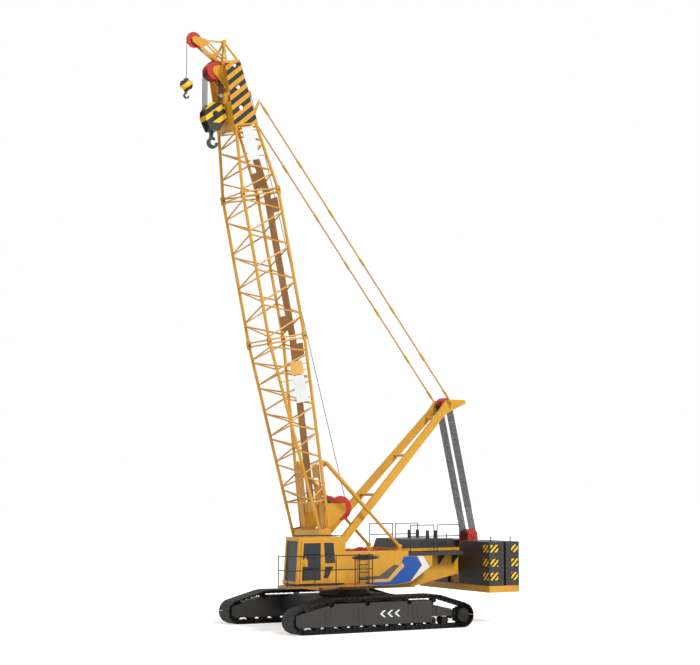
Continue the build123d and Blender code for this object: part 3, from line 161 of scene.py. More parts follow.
def paint_detail(tree, place):
    """Cloudy dulling, rain streaks and orange peel of sprayed enamel on welded plate."""
    clouds = add_node(tree, "ShaderNodeTexNoise", {
        "Vector": place, "Scale": 0.9, "Detail": 5.0, "Roughness": 0.6,
    })
    # streaks 60 mm wide and about a metre long
    stretched = add_node(tree, "ShaderNodeMapping", {"Vector": place, "Scale": (16.0, 16.0, 0.9)}).outputs[0]
    streaks = add_node(tree, "ShaderNodeTexNoise", {"Vector": stretched, "Scale": 1.0, "Detail": 3.0})
    # orange peel about 4 mm across, drawn at 12 mm, which shows only from near by
    peel = add_node(tree, "ShaderNodeTexNoise", {"Vector": place, "Scale": 80.0, "Detail": 1.0})
    return clouds.outputs[0], streaks.outputs[0], peel.outputs[0]


def enamel(name, shade, dulled, grime, fresh=0.38):
    """Sprayed enamel on welded steel: even colour, soft gloss, duller in clouds, faint rain streaks. fresh is
    the roughness of the coat where it isn't dulled."""
    tree, place = new_material(name)
    clouds, streaks, peel = paint_detail(tree, place)
    base = wash(tree, clouds, (0.35, 0.7), shade, dulled)
    base = wash(tree, streaks, STREAK_LIMITS, base, grime, 0.45)
    finish_material(tree, base, clouds, CLOUD_LIMITS, (fresh, fresh + 0.17), peel, PEEL_HEIGHT,
                    Metallic=0.0, IOR=1.5)


def striped_enamel(name, shade, dark, grime, lean, period, zone=None, floor=None):
    """Enamel in slanted warning bands. lean gives the way across the bands and period is one light and one dark
    band in metres. zone keeps the bands to plates further out than its first value and between its other two
    along the boom, and all that hangs below floor is dark."""
    tree, place = new_material(name)
    clouds, streaks, peel = paint_detail(tree, place)
    axes = add_node(tree, "ShaderNodeSeparateXYZ", {0: place}).outputs
    across = add_node(tree, "ShaderNodeVectorMath", {0: place, 1: lean}, operation="DOT_PRODUCT")
    bands = add_node(tree, "ShaderNodeMath", {0: across.outputs["Value"], 1: period}, operation="DIVIDE")
    turn = add_node(tree, "ShaderNodeMath", {0: bands.outputs[0]}, operation="FRACT")
    tests = [(turn.outputs[0], "GREATER_THAN", 0.5)]
    if zone:
        outward, foot, top = zone
        aside = add_node(tree, "ShaderNodeMath", {0: axes["Y"]}, operation="ABSOLUTE").outputs[0]
        along = add_node(tree, "ShaderNodeVectorMath", {0: place, 1: tuple(ALONG)}, operation="DOT_PRODUCT")
        along = along.outputs["Value"]
        tests += [(aside, "GREATER_THAN", outward), (along, "GREATER_THAN", foot), (along, "LESS_THAN", top)]
    # dark where every test holds
    band = 1.0
    for value, operation, limit in tests:
        test = add_node(tree, "ShaderNodeMath", {0: value, 1: limit}, operation=operation).outputs[0]
        band = add_node(tree, "ShaderNodeMath", {0: band, 1: test}, operation="MULTIPLY").outputs[0]
    base = add_node(tree, "ShaderNodeMix", {0: band, 6: shade, 7: dark}, data_type="RGBA").outputs[2]
    if floor is not None:
        below = add_node(tree, "ShaderNodeMath", {0: axes["Z"], 1: floor}, operation="LESS_THAN").outputs[0]
        hook = linear("2E2D2C")
        base = add_node(tree, "ShaderNodeMix", {0: below, 6: base, 7: hook}, data_type="RGBA").outputs[2]
    base = wash(tree, streaks, STREAK_LIMITS, base, grime, 0.35)
    finish_material(tree, base, clouds, CLOUD_LIMITS, (0.36, 0.5), peel, PEEL_HEIGHT, Metallic=0.0, IOR=1.5)


def cast_steel(name, shade, worn, scale=34.0):
    """Cast or forged steel with its scale on: pitted and dark, with brighter worn patches."""
    tree, place = new_material(name)
    # sand grain of about 1 mm, drawn in clusters of 17 to 30 mm, which show only from near by
    grain = add_node(tree, "ShaderNodeTexNoise", {
        "Vector": place, "Scale": scale, "Detail": 6.0, "Roughness": 0.7,
    }).outputs[0]
    patches = add_node(tree, "ShaderNodeTexNoise", {"Vector": place, "Scale": 3.0, "Detail": 4.0}).outputs[0]
    base = wash(tree, patches, (0.45, 0.75), shade, worn)
    finish_material(tree, base, grain, (0.3, 0.7), (0.5, 0.75), grain, 0.002, Metallic=0.55)


def wire_rope(name, shade, bright):
    """Greased steel wire rope: twisted strands with dark grease between bright crowns."""
    tree, place = new_material(name)
    # strands lie 9 mm apart, drawn about 50 mm apart on a hanging rope
    lay = add_node(tree, "ShaderNodeTexWave", {
        "Vector": place, "Scale": 12.0, "Distortion": 1.5, "Detail": 1.0,
    }, bands_direction="DIAGONAL").outputs["Fac"]
    base = add_node(tree, "ShaderNodeMix", {0: lay, 6: shade, 7: bright}, data_type="RGBA").outputs[2]
    finish_material(tree, base, lay, (0.0, 1.0), (0.7, 0.5), lay, 0.002, Metallic=0.0)


def safety_glass(name, shade):
    """Tinted laminated glass: dark, smooth and glossy, with a faint film of dust."""
    tree, place = new_material(name)
    dust = add_node(tree, "ShaderNodeTexNoise", {"Vector": place, "Scale": 3.0, "Detail": 6.0}).outputs[0]
    finish_material(tree, shade, dust, (0.4, 0.7), (0.04, 0.16), dust, 0.0002,
                    Metallic=0.0, IOR=1.52, Alpha=0.72)


def woven_cover(name, shade, light):
    """Woven seat cover: a tight crossed weave with a soft sheen."""
    tree, place = new_material(name)
    # threads 1.5 mm apart, drawn at 12 mm, which shows only from near by
    threads = {"Vector": place, "Scale": 26.0}
    warp = add_node(tree, "ShaderNodeTexWave", threads, bands_direction="Y").outputs["Fac"]
    weft = add_node(tree, "ShaderNodeTexWave", threads, bands_direction="Z").outputs["Fac"]
    weave = add_node(tree, "ShaderNodeMath", {0: warp, 1: weft}, operation="MULTIPLY").outputs[0]
    base = add_node(tree, "ShaderNodeMix", {0: weave, 6: shade, 7: light}, data_type="RGBA").outputs[2]
    finish_material(tree, base, weave, (0.0, 1.0), (0.9, 0.75), weave, 0.001, Metallic=0.0, Sheen_Weight=0.3)


def moulded_rubber(name, shade, light):
    """Moulded rubber and plastic: matt black with a pebbled skin."""
    tree, place = new_material(name)
    # pebbles about 1 mm across, drawn at 11 mm, which show only from near by
    pebbles = add_node(tree, "ShaderNodeTexVoronoi", {"Vector": place, "Scale": 90.0}).outputs["Distance"]
    base = add_node(tree, "ShaderNodeMix", {0: pebbles, 6: shade, 7: light}, data_type="RGBA").outputs[2]
    finish_material(tree, base, pebbles, (0.0, 0.6), (0.55, 0.75), pebbles, 0.001, Metallic=0.0)


def seen_directly(tree):
    """One where a thing is seen, also in a mirror or through glass, and nought where it only gives light."""
    seen = add_node(tree, "ShaderNodeLightPath").outputs
    bounced = add_node(tree, "ShaderNodeMath", {
        0: seen["Is Glossy Ray"], 1: seen["Is Transmission Ray"],
    }, operation="MAXIMUM").outputs[0]
    return add_node(tree, "ShaderNodeMath", {
        0: seen["Is Camera Ray"], 1: bounced,
    }, operation="MAXIMUM").outputs[0]


# ---------------------------------------------------------------- forms
def circle(count):
    """Angles of equal steps round a circle."""
    return [math.tau * step / count for step in range(count)]


def outer(low, high, side):
    """Where the wall of a box that faces left or right stands."""
    return high.y if side > 0 else low.y


class Form:
    """Collects the plates, tubes and turned parts of one piece in a single mesh."""

    def __init__(self):
        self.mesh = bmesh.new()

    def prism(self, outline, shift):
        """A flat outline carried along a shift."""
        shift = Vector(shift)
        near = [self.mesh.verts.new(Vector(point)) for point in outline]
        far = [self.mesh.verts.new(Vector(point) + shift) for point in outline]
        self.mesh.faces.new(near)
        self.mesh.faces.new(far[::-1])
        count = len(near)
        for index in range(count):
            after = (index + 1) % count
            self.mesh.faces.new((near[after], near[index], far[index], far[after]))

    def block(self, low, high):
        """A plain block between two corners."""
        (x0, y0, z0), (x1, y1, z1) = low, high
        self.prism(((x0, y0, z0), (x1, y0, z0), (x1, y1, z0), (x0, y1, z0)), (0, 0, z1 - z0))

    def ring(self, centre, guide, side, radius, sides):
        """Points round a centre, in the plane of guide and side."""
        return [self.mesh.verts.new(centre + (guide * math.cos(turn) + side * math.sin(turn)) * radius)
                for turn in circle(sides)]

    def skin(self, rings):
        """Walls between rings that follow each other, and a cap at either end."""
        sides = len(rings[0])
        for ring, after in zip(rings, rings[1:]):
            for step in range(sides):
                ahead = (step + 1) % sides
                self.mesh.faces.new((ring[step], ring[ahead], after[ahead], after[step]))
        self.mesh.faces.new(rings[0][::-1])
        self.mesh.faces.new(rings[-1])

    def tube(self, points, radius, sides=8):
        """A round bar that follows the points."""
        points = [Vector(point) for point in points]
        last = len(points) - 1
        rings = []
        guide = None
        for index, point in enumerate(points):
            way = (points[min(index + 1, last)] - points[max(index - 1, 0)]).normalized()
            if guide is None:
                guide = way.orthogonal().normalized()
            guide = (guide - way * guide.dot(way)).normalized()
            rings.append(self.ring(point, guide, way.cross(guide), radius, sides))
        self.skin(rings)

    def turned(self, centre, axis, profile, sides=24):
        """A turned part: profile rows are the place on the axis and the radius there."""
        centre, axis = Vector(centre), Vector(axis).normalized()
        guide = axis.orthogonal().normalized()
        side = axis.cross(guide)
        self.skin([self.ring(centre + axis * at, guide, side, radius, sides) for at, radius in profile])

    def bolts(self, centres, axis, radius, height):
        """Six-sided bolt heads on a face."""
        for centre in centres:
            self.turned(centre, axis, ((0, radius), (height, radius)), 6)

    def done(self, name, material, body, slot, bevel=0.0):
        """Turns the form into a piece that rides on a body and takes the given material. slot is not used."""
        bmesh.ops.recalc_face_normals(self.mesh, faces=self.mesh.faces)
        data = bpy.data.meshes.new(name)
        self.mesh.to_mesh(data)
        self.mesh.free()
        data.materials.append(bpy.data.materials[material])
        piece = bpy.data.objects.new(name, data)
        bpy.context.scene.collection.objects.link(piece)
        if bevel:
            edge = piece.modifiers.new("edge", "BEVEL")
            edge.width = bevel
            edge.segments = 2
            edge.limit_method = "ANGLE"
        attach(piece, body)
        return piece


def film(form, corners, y, side):
    """A painted patch on a wall that faces left or right: corners are x and z."""
    form.prism([(x, y, z) for x, z in corners], (0, side * LIFT, 0))


# ---------------------------------------------------------------- settings
class CranePaint(bpy.types.PropertyGroup):
    """Colours of the crane's finishes."""
    body: bpy.props.FloatVectorProperty(
        name="Body enamel", description="Colour of the upper works and the boom", subtype="COLOR",
        size=3, min=0, max=1, default=linear("D49A24"))
    grey: bpy.props.FloatVectorProperty(
        name="Grey enamel", description="Colour of the counterweight, hood and crawler frames", subtype="COLOR",
        size=3, min=0, max=1, default=linear("262423"))
    black: bpy.props.FloatVectorProperty(
        name="Black enamel", description="Colour of rails and dark bands", subtype="COLOR",
        size=3, min=0, max=1, default=linear("0D0C0C"))
    red: bpy.props.FloatVectorProperty(
        name="Red enamel", description="Colour of sheaves and drums", subtype="COLOR",
        size=3, min=0, max=1, default=linear("BE2C16"))
    blue: bpy.props.FloatVectorProperty(
        name="Blue band", description="Colour of the broad band on the side housing", subtype="COLOR",
        size=3, min=0, max=1, default=linear("00479C"))
    white: bpy.props.FloatVectorProperty(
        name="White band", description="Colour of the thin bands and blank plates", subtype="COLOR",
        size=3, min=0, max=1, default=linear("E2E4E3"))


class CraneSizes(bpy.types.PropertyGroup):
    """Sizes of the crane's fittings."""
    stripe: bpy.props.FloatProperty(
        name="Warning stripe", description="One light and one dark band of the hook blocks", unit="LENGTH",
        default=0.36, min=0.05, max=1.0)
    rope: bpy.props.FloatProperty(
        name="Drum rope", description="Radius of the rope wound on the drums", unit="LENGTH",
        default=0.013, min=0.005, max=0.03)
    bolt: bpy.props.FloatProperty(
        name="Bolt", description="Radius of the frame bolts' heads", unit="LENGTH",
        default=0.026, min=0.01, max=0.05)


# ---------------------------------------------------------------- operators
class CraneFinishes(bpy.types.Operator):
    """Makes the materials and gives one to every node of the frame"""
    bl_idname = "crane.finishes"
    bl_label = "Finishes"

    def execute(self, context):
        paint = context.scene.crane_paint
        sizes = context.scene.crane_sizes
        grime = linear("5A4326")
        enamel("enamel_body_sprayed", paint.body, linear("C68E20"), linear("96702A"))
        # the walkways' enamel is the body orange made darker and browner: painted shade on the walkway plates
        enamel("enamel_walkway_painted_shade", linear("A8702A"), linear("8E5E26"), grime, 0.5)
        enamel("enamel_grey_sprayed", paint.grey, linear("2E2B29"), linear("45403A"), 0.42)
        enamel("enamel_black_sprayed", paint.black, linear("171615"), linear("2A2622"), 0.45)
        enamel("enamel_red_sprayed", paint.red, linear("B02E18"), linear("6E2A1A"), 0.4)
        enamel("enamel_blue_film", paint.blue, linear("064FA2"), linear("123F74"), 0.3)
        enamel("enamel_white_film", paint.white, linear("D6D8D6"), linear("BDBBB3"), 0.34)
        enamel("enamel_grey_film", linear("5A5048"), linear("4C443D"), linear("3E362F"), 0.4)
        enamel("enamel_tan_film", linear("E0AE62"), linear("D09C50"), linear("B08040"), 0.4)
        yellow, ochre = linear("EFC022"), linear("9B7B1C")
        block_lean = (0.62, 0.0, 0.78)
        block_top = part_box("hook_block")[1].z
        striped_enamel("enamel_block_striped", yellow, paint.black, ochre, block_lean, sizes.stripe,
                       floor=block_top - 0.78)
        ball_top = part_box("ball_hook")[1].z
        striped_enamel("enamel_ball_striped", yellow, paint.black, ochre, block_lean, sizes.stripe,
                       floor=ball_top - 0.62)
        striped_enamel("enamel_warning_striped", yellow, paint.black, ochre, (-0.58, 0.58, -0.58), 0.13)
        head_zone = (HEAD_HALF, on_boom(HEAD_FOOT, 0).dot(ALONG), on_boom(HEAD_TOP, 0).dot(ALONG))
        striped_enamel("enamel_head_striped", paint.body, paint.black, linear("B9812F"), (0.66, 0.0, 0.75),
                       0.33, zone=head_zone)
        cast_steel("steel_cast_dark", linear("1A1918"), linear("34312F"))
        cast_steel("steel_forged_machined", linear("3A3A3D"), linear("5D5D62"), 60.0)
        wire_rope("steel_rope_greased", linear("0E0E10"), linear("242427"))
        safety_glass("glass_tinted_laminated", linear("20262B"))
        woven_cover("cloth_seat_woven", linear("17181B"), linear("2D2F34"))
        moulded_rubber("rubber_moulded_black", linear("141414"), linear("242424"))
        slots = {
            "orange_paint": "enamel_body_sprayed", "walkway_paint": "enamel_walkway_painted_shade",
            "dark_grey_paint": "enamel_grey_sprayed", "black_paint": "enamel_black_sprayed",
            "cast_track": "steel_cast_dark", "red_paint": "enamel_red_sprayed",
            "warning_paint": "enamel_warning_striped", "forged_steel": "steel_forged_machined",
            "wire_rope": "steel_rope_greased", "tinted_glass": "glass_tinted_laminated",
            "seat_fabric": "cloth_seat_woven",
        }
        special = {"boom_head": "enamel_head_striped", "hook_block": "enamel_block_striped",
                   "ball_hook": "enamel_ball_striped"}
        for part in frame["record"]["subparts"]:
            name = part["node"]
            material = bpy.data.materials[special.get(name, slots[part["material_slot"]])]
            data = frame["nodes"][name].data
            data.materials.clear()
            data.materials.append(material)
        return {"FINISHED"}


class CraneLivery(bpy.types.Operator):
    """Paints the bands of the side housings, black ovals as painted shade in their louvre recesses, the crawlers'
    arrows and the warning patches
    """
    bl_idname = "crane.livery"
    bl_label = "Livery"

    def execute(self, context):
        # outlines as x and z, front end first
        bands = {
            "blue": ((0.0, 1.63), (0.0, 1.74), (-1.1, 1.75), (-1.77, 2.34), (-1.64, 2.48), (-1.73, 2.71),
                     (-2.33, 2.71), (-2.56, 2.36), (-2.02, 1.72), (-1.3, 1.63)),
            "white": ((-2.06, 1.72), (-2.59, 2.36), (-2.37, 2.71), (-2.63, 2.71), (-2.93, 2.27)),
            "tan": ((-0.42, 1.75), (-0.42, 1.85), (-1.01, 1.86), (-1.55, 2.36), (-1.64, 2.49), (-1.78, 2.35),
                    (-1.11, 1.755)),
            "grey": ((0.3, 1.86), (0.3, 1.97), (-0.62, 1.99), (-1.28, 2.4), (-1.54, 2.375), (-1.0, 1.87)),
        }
        oval_half, oval_rise, oval_z, oval_depth = 0.6, 0.085, 2.7, 0.024
        patch_drops, patch_size, patch_inset = (0.42, 0.98, 1.52), (0.36, 0.3), 0.06
        for name, side in SIDES:
            low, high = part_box(f"{name}_housing")
            wall = outer(low, high, side)
            for band, corners in bands.items():
                form = Form()
                film(form, corners, wall, side)
                form.done(f"{name}_band_{band}", f"enamel_{band}_film", "upperworks", "orange_paint")
            # a black oval sunk in each housing's louvre recess stands for the shade inside it: painted shade
            form = Form()
            oval = [(oval_half * math.cos(turn), oval_z + oval_rise * math.sin(turn)) for turn in circle(40)]
            film(form, oval, wall - side * oval_depth, side)
            form.done(f"{name}_oval_recess_shade", "enamel_black_sprayed", "upperworks", "black_paint")
            low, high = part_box(f"{name}_crawler_frame")
            wall = outer(low, high, side)
            form = Form()
            for tip in (0.16, -0.16, -0.48):
                corners = ((tip, 0.65), (tip - 0.17, 0.78), (tip - 0.26, 0.78), (tip - 0.1, 0.65),
                           (tip - 0.26, 0.52), (tip - 0.17, 0.52))
                film(form, corners, wall, side)
            form.done(f"{name}_arrows", "enamel_white_film", "undercarriage", "dark_grey_paint")
            low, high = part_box(f"counterweight_{name}")
            wall = outer(low, high, side)
            rows = [high.z - drop for drop in patch_drops]
            form = Form()
            for from_x, to_x in ((high.x - 0.42, high.x - patch_inset), (low.x + patch_inset, low.x + 0.38)):
                for z in rows:
                    top = z + patch_size[1]
                    film(form, ((from_x, z), (to_x, z), (to_x, top), (from_x, top)), wall - side * 0.001, side)
            # the same patches on the front faces
            edge = side * (abs(wall) - patch_inset)
            inner = edge - side * patch_size[0]
            for z in rows:
                top = z + patch_size[1]
                form.prism(((high.x, edge, z), (high.x, inner, z), (high.x, inner, top), (high.x, edge, top)),
                           (LIFT, 0, 0))
            form.done(f"{name}_warning_patches", "enamel_warning_striped", "upperworks", "warning_paint")
        return {"FINISHED"}


class CraneBoomPlates(bpy.types.Operator):
    """Hangs the blank plates on the boom and adds the forks of its lengths and the pendants' sockets"""
    bl_idname = "crane.boom_plates"
    bl_label = "Boom plates"

    def execute(self, context):
        # name, finish, from and to along the boom, front and rear edge forward of its middle
        plates = (
            ("banner", "enamel_white_film", 15.75, 17.05, 0.3, -0.19),
            ("sign_small", "enamel_tan_film", 7.28, 7.8, 0.14, -0.4),
            ("sign_tall", "enamel_white_film", 6.2, 7.25, 0.16, -0.36),
        )
        skin = CHORD_RADIUS + 0.02
        plate_thick, strap_thick, strap_wide = 0.012, 0.024, 0.04
        for name, finish, low, high, front, rear in plates:
            form = Form()
            corners = ((low, front), (high, front), (high, rear), (low, rear))
            form.prism([on_boom(at, fore, section(at)[0] + skin) for at, fore in corners], (0, plate_thick, 0))
            form.done(f"boom_{name}", finish, "boom", "orange_paint", 0.003)
            # two straps carry it from chord to chord
            straps = Form()
            for at in (low + 0.12, high - 0.16):
                half, chord_front, chord_rear = section(at)
                outline = ((at, chord_front), (at, chord_rear),
                           (at + strap_wide, chord_rear), (at + strap_wide, chord_front))
                straps.prism([on_boom(along, fore, half + CHORD_RADIUS - 0.004) for along, fore in outline],
                             (0, strap_thick, 0))
            straps.done(f"boom_{name}_straps", "enamel_body_sprayed", "boom", "orange_paint", 0.003)
        # forks and pins where the boom's lengths join
        fork = ((-0.15, -0.075), (0.15, -0.075), (0.18, 0.0), (0.15, 0.075), (-0.15, 0.075), (-0.18, 0.0))
        form, pins = Form(), Form()
        for at in (SECTIONS[1][0], SECTIONS[2][0]):
            half, front, rear = section(at)
            for fore in (front, rear):
                for side in (1, -1):
                    middle = on_boom(at, fore, side * half)
                    for cheek in (-0.062, 0.042):
                        form.prism([middle + ALONG * along + FORE * out + Vector((0, cheek, 0))
                                    for along, out in fork], (0, 0.02, 0))
                    pins.turned(middle - Vector((0, 0.095, 0)), (0, 1, 0),
                                ((0, 0.024), (0.01, 0.03), (0.18, 0.03), (0.19, 0.024)), 12)
        form.done("boom_forks", "enamel_body_sprayed", "boom", "orange_paint", 0.004)
        pins.done("boom_fork_pins", "steel_forged_machined", "boom", "forged_steel")
        # sockets along the pendants
        socket = ((0, 0.034), (0.05, 0.05), (0.35, 0.05), (0.4, 0.034))
        pendant_y = 0.6
        form = Form()
        for side in (1, -1):
            low = on_boom(18.05, -0.8, side * pendant_y)
            high = JOINT_PLACES["upper_rope_swing"] + Vector((0, side * pendant_y, 0))
            way = (high - low).normalized()
            for share in (0.03, 0.2, 0.36, 0.52, 0.68, 0.84, 0.965):
                form.turned(low + (high - low) * share - way * 0.2, way, socket, 10)
        form.done("pendant_sockets", "enamel_body_sprayed", "boom", "orange_paint")
        return {"FINISHED"}


class CraneRopes(bpy.types.Operator):
    """Lays the luffing ropes and the hoist falls, and puts the hubs on the hook block"""
    bl_idname = "crane.ropes"
    bl_label = "Ropes"

    def execute(self, context):
        lower, upper = JOINT_PLACES["lower_rope_swing"], JOINT_PLACES["upper_rope_swing"]
        way = (upper - lower).normalized()
        across = Vector((-way.z, 0, way.x)) * 0.23
        for name, shift in (("lower", -0.0325), ("upper", 0.0325)):
            form = Form()
            for index in range(4):
                aside = Vector((0, (index - 1.5) * 0.13 + shift, 0))
                for sign in (1, -1):
                    form.tube((lower + across * sign + aside, upper + across * sign + aside), ROPE_RADIUS)
            piece = form.done(f"luffing_ropes_{name}_laid", "steel_rope_greased", f"{name}_ropes", "wire_rope")
            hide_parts(f"luffing_ropes_{name}")
        axle = JOINT_PLACES["hook_swing"]
        form = Form()
        fall = Vector((0, 0, FALL_LENGTH))
        for index in range(5):
            for sign in (1, -1):
                top = axle + Vector((sign * 0.34, (index - 2) * 0.105, 0))
                form.tube((top, top - fall), ROPE_RADIUS)
        piece = form.done("hoist_falls_laid", "steel_rope_greased", "hook_block", "wire_rope")
        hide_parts("hoist_falls")
        block = axle - fall
        low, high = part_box("hook_block")
        hub = ((0, 0.13), (0.012, 0.13), (0.012, 0.08), (0.035, 0.08))
        bolt_circle = 0.105
        form = Form()
        for side in (1, -1):
            face = outer(low, high, side)
            form.turned((block.x, face, block.z), (0, side, 0), hub, 20)
            form.bolts([(block.x + bolt_circle * math.cos(turn), face + side * hub[1][0],
                         block.z + bolt_circle * math.sin(turn)) for turn in circle(8)],
                       (0, side, 0), 0.012, 0.01)
        form.done("hook_block_hubs", "enamel_black_sprayed", "hook_block", "warning_paint")
        return {"FINISHED"}


def winding(x, z, rope, start, width):
    """Centre line of one layer of rope on a drum that lies across the crane."""
    steps = 20
    reach = DRUM_CORE + rope
    pitch = 2 * rope
    return [(x + reach * math.cos(math.tau * step / steps), start + pitch * step / steps,
             z + reach * math.sin(math.tau * step / steps)) for step in range(int(width / pitch) * steps)]


class CraneDrums(bpy.types.Operator):
    """Winds the rope on the drums"""
    bl_idname = "crane.drums"
    bl_label = "Drum ropes"

    def execute(self, context):
        rope = context.scene.crane_sizes.rope
        form = Form()
        for x in (0.35, -1.1):
            form.tube(winding(x, 2.52, rope, -0.64, 1.3), rope, 5)
        form.done("deck_drum_ropes", "steel_rope_greased", "upperworks", "wire_rope")
        form = Form()
        place = on_boom(1.79, -1.21)
        form.tube(winding(place.x, place.z, rope, -0.48, 0.96), rope, 5)
        form.done("boom_drum_rope", "steel_rope_greased", "boom", "wire_rope")
        return {"FINISHED"}


class CraneCab(bpy.types.Operator):
    """Fits the cab with its roof guard, door bar, lamp box, consoles and levers"""
    bl_idname = "crane.cab"
    bl_label = "Cab fittings"

    def execute(self, context):
        low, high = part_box("cab_roof")
        form = Form()
        bars, bar_radius = 5, 0.012
        rear, front = low.x + 0.15, high.x - 0.3
        right, left = low.y + 0.12, high.y - 0.12
        foot, rail = high.z - 0.004, high.z + 0.05
        for index in range(bars):
            y = right + (left - right) * index / (bars - 1)
            form.tube(((rear, y, foot), (rear, y, rail), (front, y, rail), (front, y, foot)), bar_radius)
        for x in (rear, front):
            form.tube(((x, right, rail), (x, left, rail)), bar_radius)
        form.done("cab_roof_guard", "enamel_black_sprayed", "upperworks", "black_paint")
        low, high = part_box("cab_door")
        ends = [Vector((x, high.y, 2.84)) for x in (low.x + 0.03, high.x - 0.03)]
        out = Vector((0, 0.03, 0))
        form = Form()
        form.tube((ends[0], ends[0] + out, ends[1] + out, ends[1]), 0.014)
        form.done("cab_door_bar", "enamel_white_film", "cab_door", "black_paint")
        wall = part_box("cab_left_wall")[1].y
        form = Form()
        house = ((2.96, 2.46), (2.96, 2.68), (3.06, 2.8), (3.16, 2.68), (3.16, 2.46))
        form.prism([(x, wall, z) for x, z in house], (0, 0.07, 0))
        form.done("cab_lamp_box", "enamel_body_sprayed", "upperworks", "orange_paint", 0.004)
        form = Form()
        seat_low, seat_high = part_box("operator_seat")
        middle = (seat_low.y + seat_high.y) / 2
        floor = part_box("cab_floor")[1].z
        for side in (1, -1):
            y = middle + side * 0.36
            form.block((seat_low.x + 0.1, y - 0.05, floor), (seat_high.x - 0.02, y + 0.05, floor + 0.62))
            form.tube(((seat_high.x - 0.1, y, floor + 0.6), (seat_high.x - 0.07, y, floor + 0.82)), 0.012)
            form.turned((seat_high.x - 0.07, y, floor + 0.8), (0, 0, 1),
                        ((0, 0.012), (0.03, 0.026), (0.07, 0.026), (0.09, 0.012)), 16)
        form.done("cab_consoles", "rubber_moulded_black", "upperworks", "black_paint", 0.006)
        return {"FINISHED"}


class CraneUpperFittings(bpy.types.Operator):
    """Adds the hood's grilles and handles and the counterweight's posts"""
    bl_idname = "crane.upper_fittings"
    bl_label = "Upper fittings"

    def execute(self, context):
        low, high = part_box("engine_hood")
        form = Form()
        for side in (1, -1):
            wall = side * high.y
            near, far = sorted((wall, wall + side * 0.01))
            for step in range(7):
                x = low.x + 0.3 + step * 0.06
                form.block((x, near, low.z + 0.06), (x + 0.03, far, low.z + 0.28))
            grip = wall + side * 0.05
            foot, top = low.z + 0.12, low.z + 0.26
            for x in (low.x + 0.95, low.x + 1.5):
                form.tube(((x, wall, foot), (x, grip, foot), (x, grip, top), (x, wall, top)), 0.01)
        form.done("hood_grilles", "enamel_black_sprayed", "upperworks", "black_paint", 0.002)
        post = ((0, 0.05), (0.012, 0.05), (0.012, 0.02), (0.16, 0.02), (0.16, 0.045), (0.19, 0.045))
        form = Form()
        for name, side in SIDES:
            stack_low, stack_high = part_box(f"counterweight_{name}")
            y = side * (abs(outer(stack_low, stack_high, side)) - 0.25)
            for x in (stack_high.x - 0.25, stack_low.x + 0.25):
                form.turned((x, y, stack_high.z), (0, 0, 1), post, 16)
        form.done("counterweight_posts", "enamel_black_sprayed", "upperworks", "black_paint")
        return {"FINISHED"}


class CraneCrawlers(bpy.types.Operator):
    """Adds the seams and bolts of the crawler frames"""
    bl_idname = "crane.crawlers"
    bl_label = "Crawler fittings"

    def execute(self, context):
        radius = context.scene.crane_sizes.bolt
        for name, side in SIDES:
            low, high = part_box(f"{name}_crawler_frame")
            wall = outer(low, high, side)
            near, far = sorted((wall, wall + side * 0.008))
            form = Form()
            middle = (low.z + high.z) / 2
            for x in (2.49, 1.1, -1.29, -2.4):
                form.block((x - 0.012, near, low.z + 0.2), (x + 0.012, far, high.z - 0.15))
            for x in (2.3, 1.3, 0.9, -1.1, -1.5, -2.2):
                form.bolts([(x, wall, middle + step * 0.14) for step in (-1, 0, 1)], (0, side, 0),
                           radius, 0.014)
            form.done(f"{name}_frame_seams", "enamel_black_sprayed", "undercarriage", "black_paint")
        return {"FINISHED"}


def track_run(reach, end_radius, top, carrier_z, carriers):
    """Points of the track's outer line in x and z: the hull of the circles that it goes round."""
    circles = [(x, end_radius, end_radius) for x in (reach - end_radius, end_radius - reach)]
    circles += [(x, carrier_z, top - carrier_z) for x in carriers]
    points = sorted({(x + radius * math.cos(turn), z + radius * math.sin(turn))
                     for x, z, radius in circles for turn in circle(144)})
    hull = []
    for run in (points, points[::-1]):
        part = []
        for point in run:
            while len(part) > 1 and ((part[-1][0] - part[-2][0]) * (point[1] - part[-2][1])
                                     - (part[-1][1] - part[-2][1]) * (point[0] - part[-2][0])) <= 0:
                part.pop()
            part.append(point)
        hull += part[:-1]
    return hull


def walk(line, count):
    """Splits a closed line into equal steps and gives the points between them."""
    ends = line[1:] + line[:1]
    lengths = [math.dist(low, high) for low, high in zip(line, ends)]
    step = sum(lengths) / count
    points, done, index = [], 0.0, 0
    for number in range(count):
        goal = number * step
        while done + lengths[index] < goal:
            done += lengths[index]
            index += 1
        share = (goal - done) / lengths[index]
        low, high = line[index], ends[index]
        points.append((low[0] + (high[0] - low[0]) * share, low[1] + (high[1] - low[1]) * share))
    return points


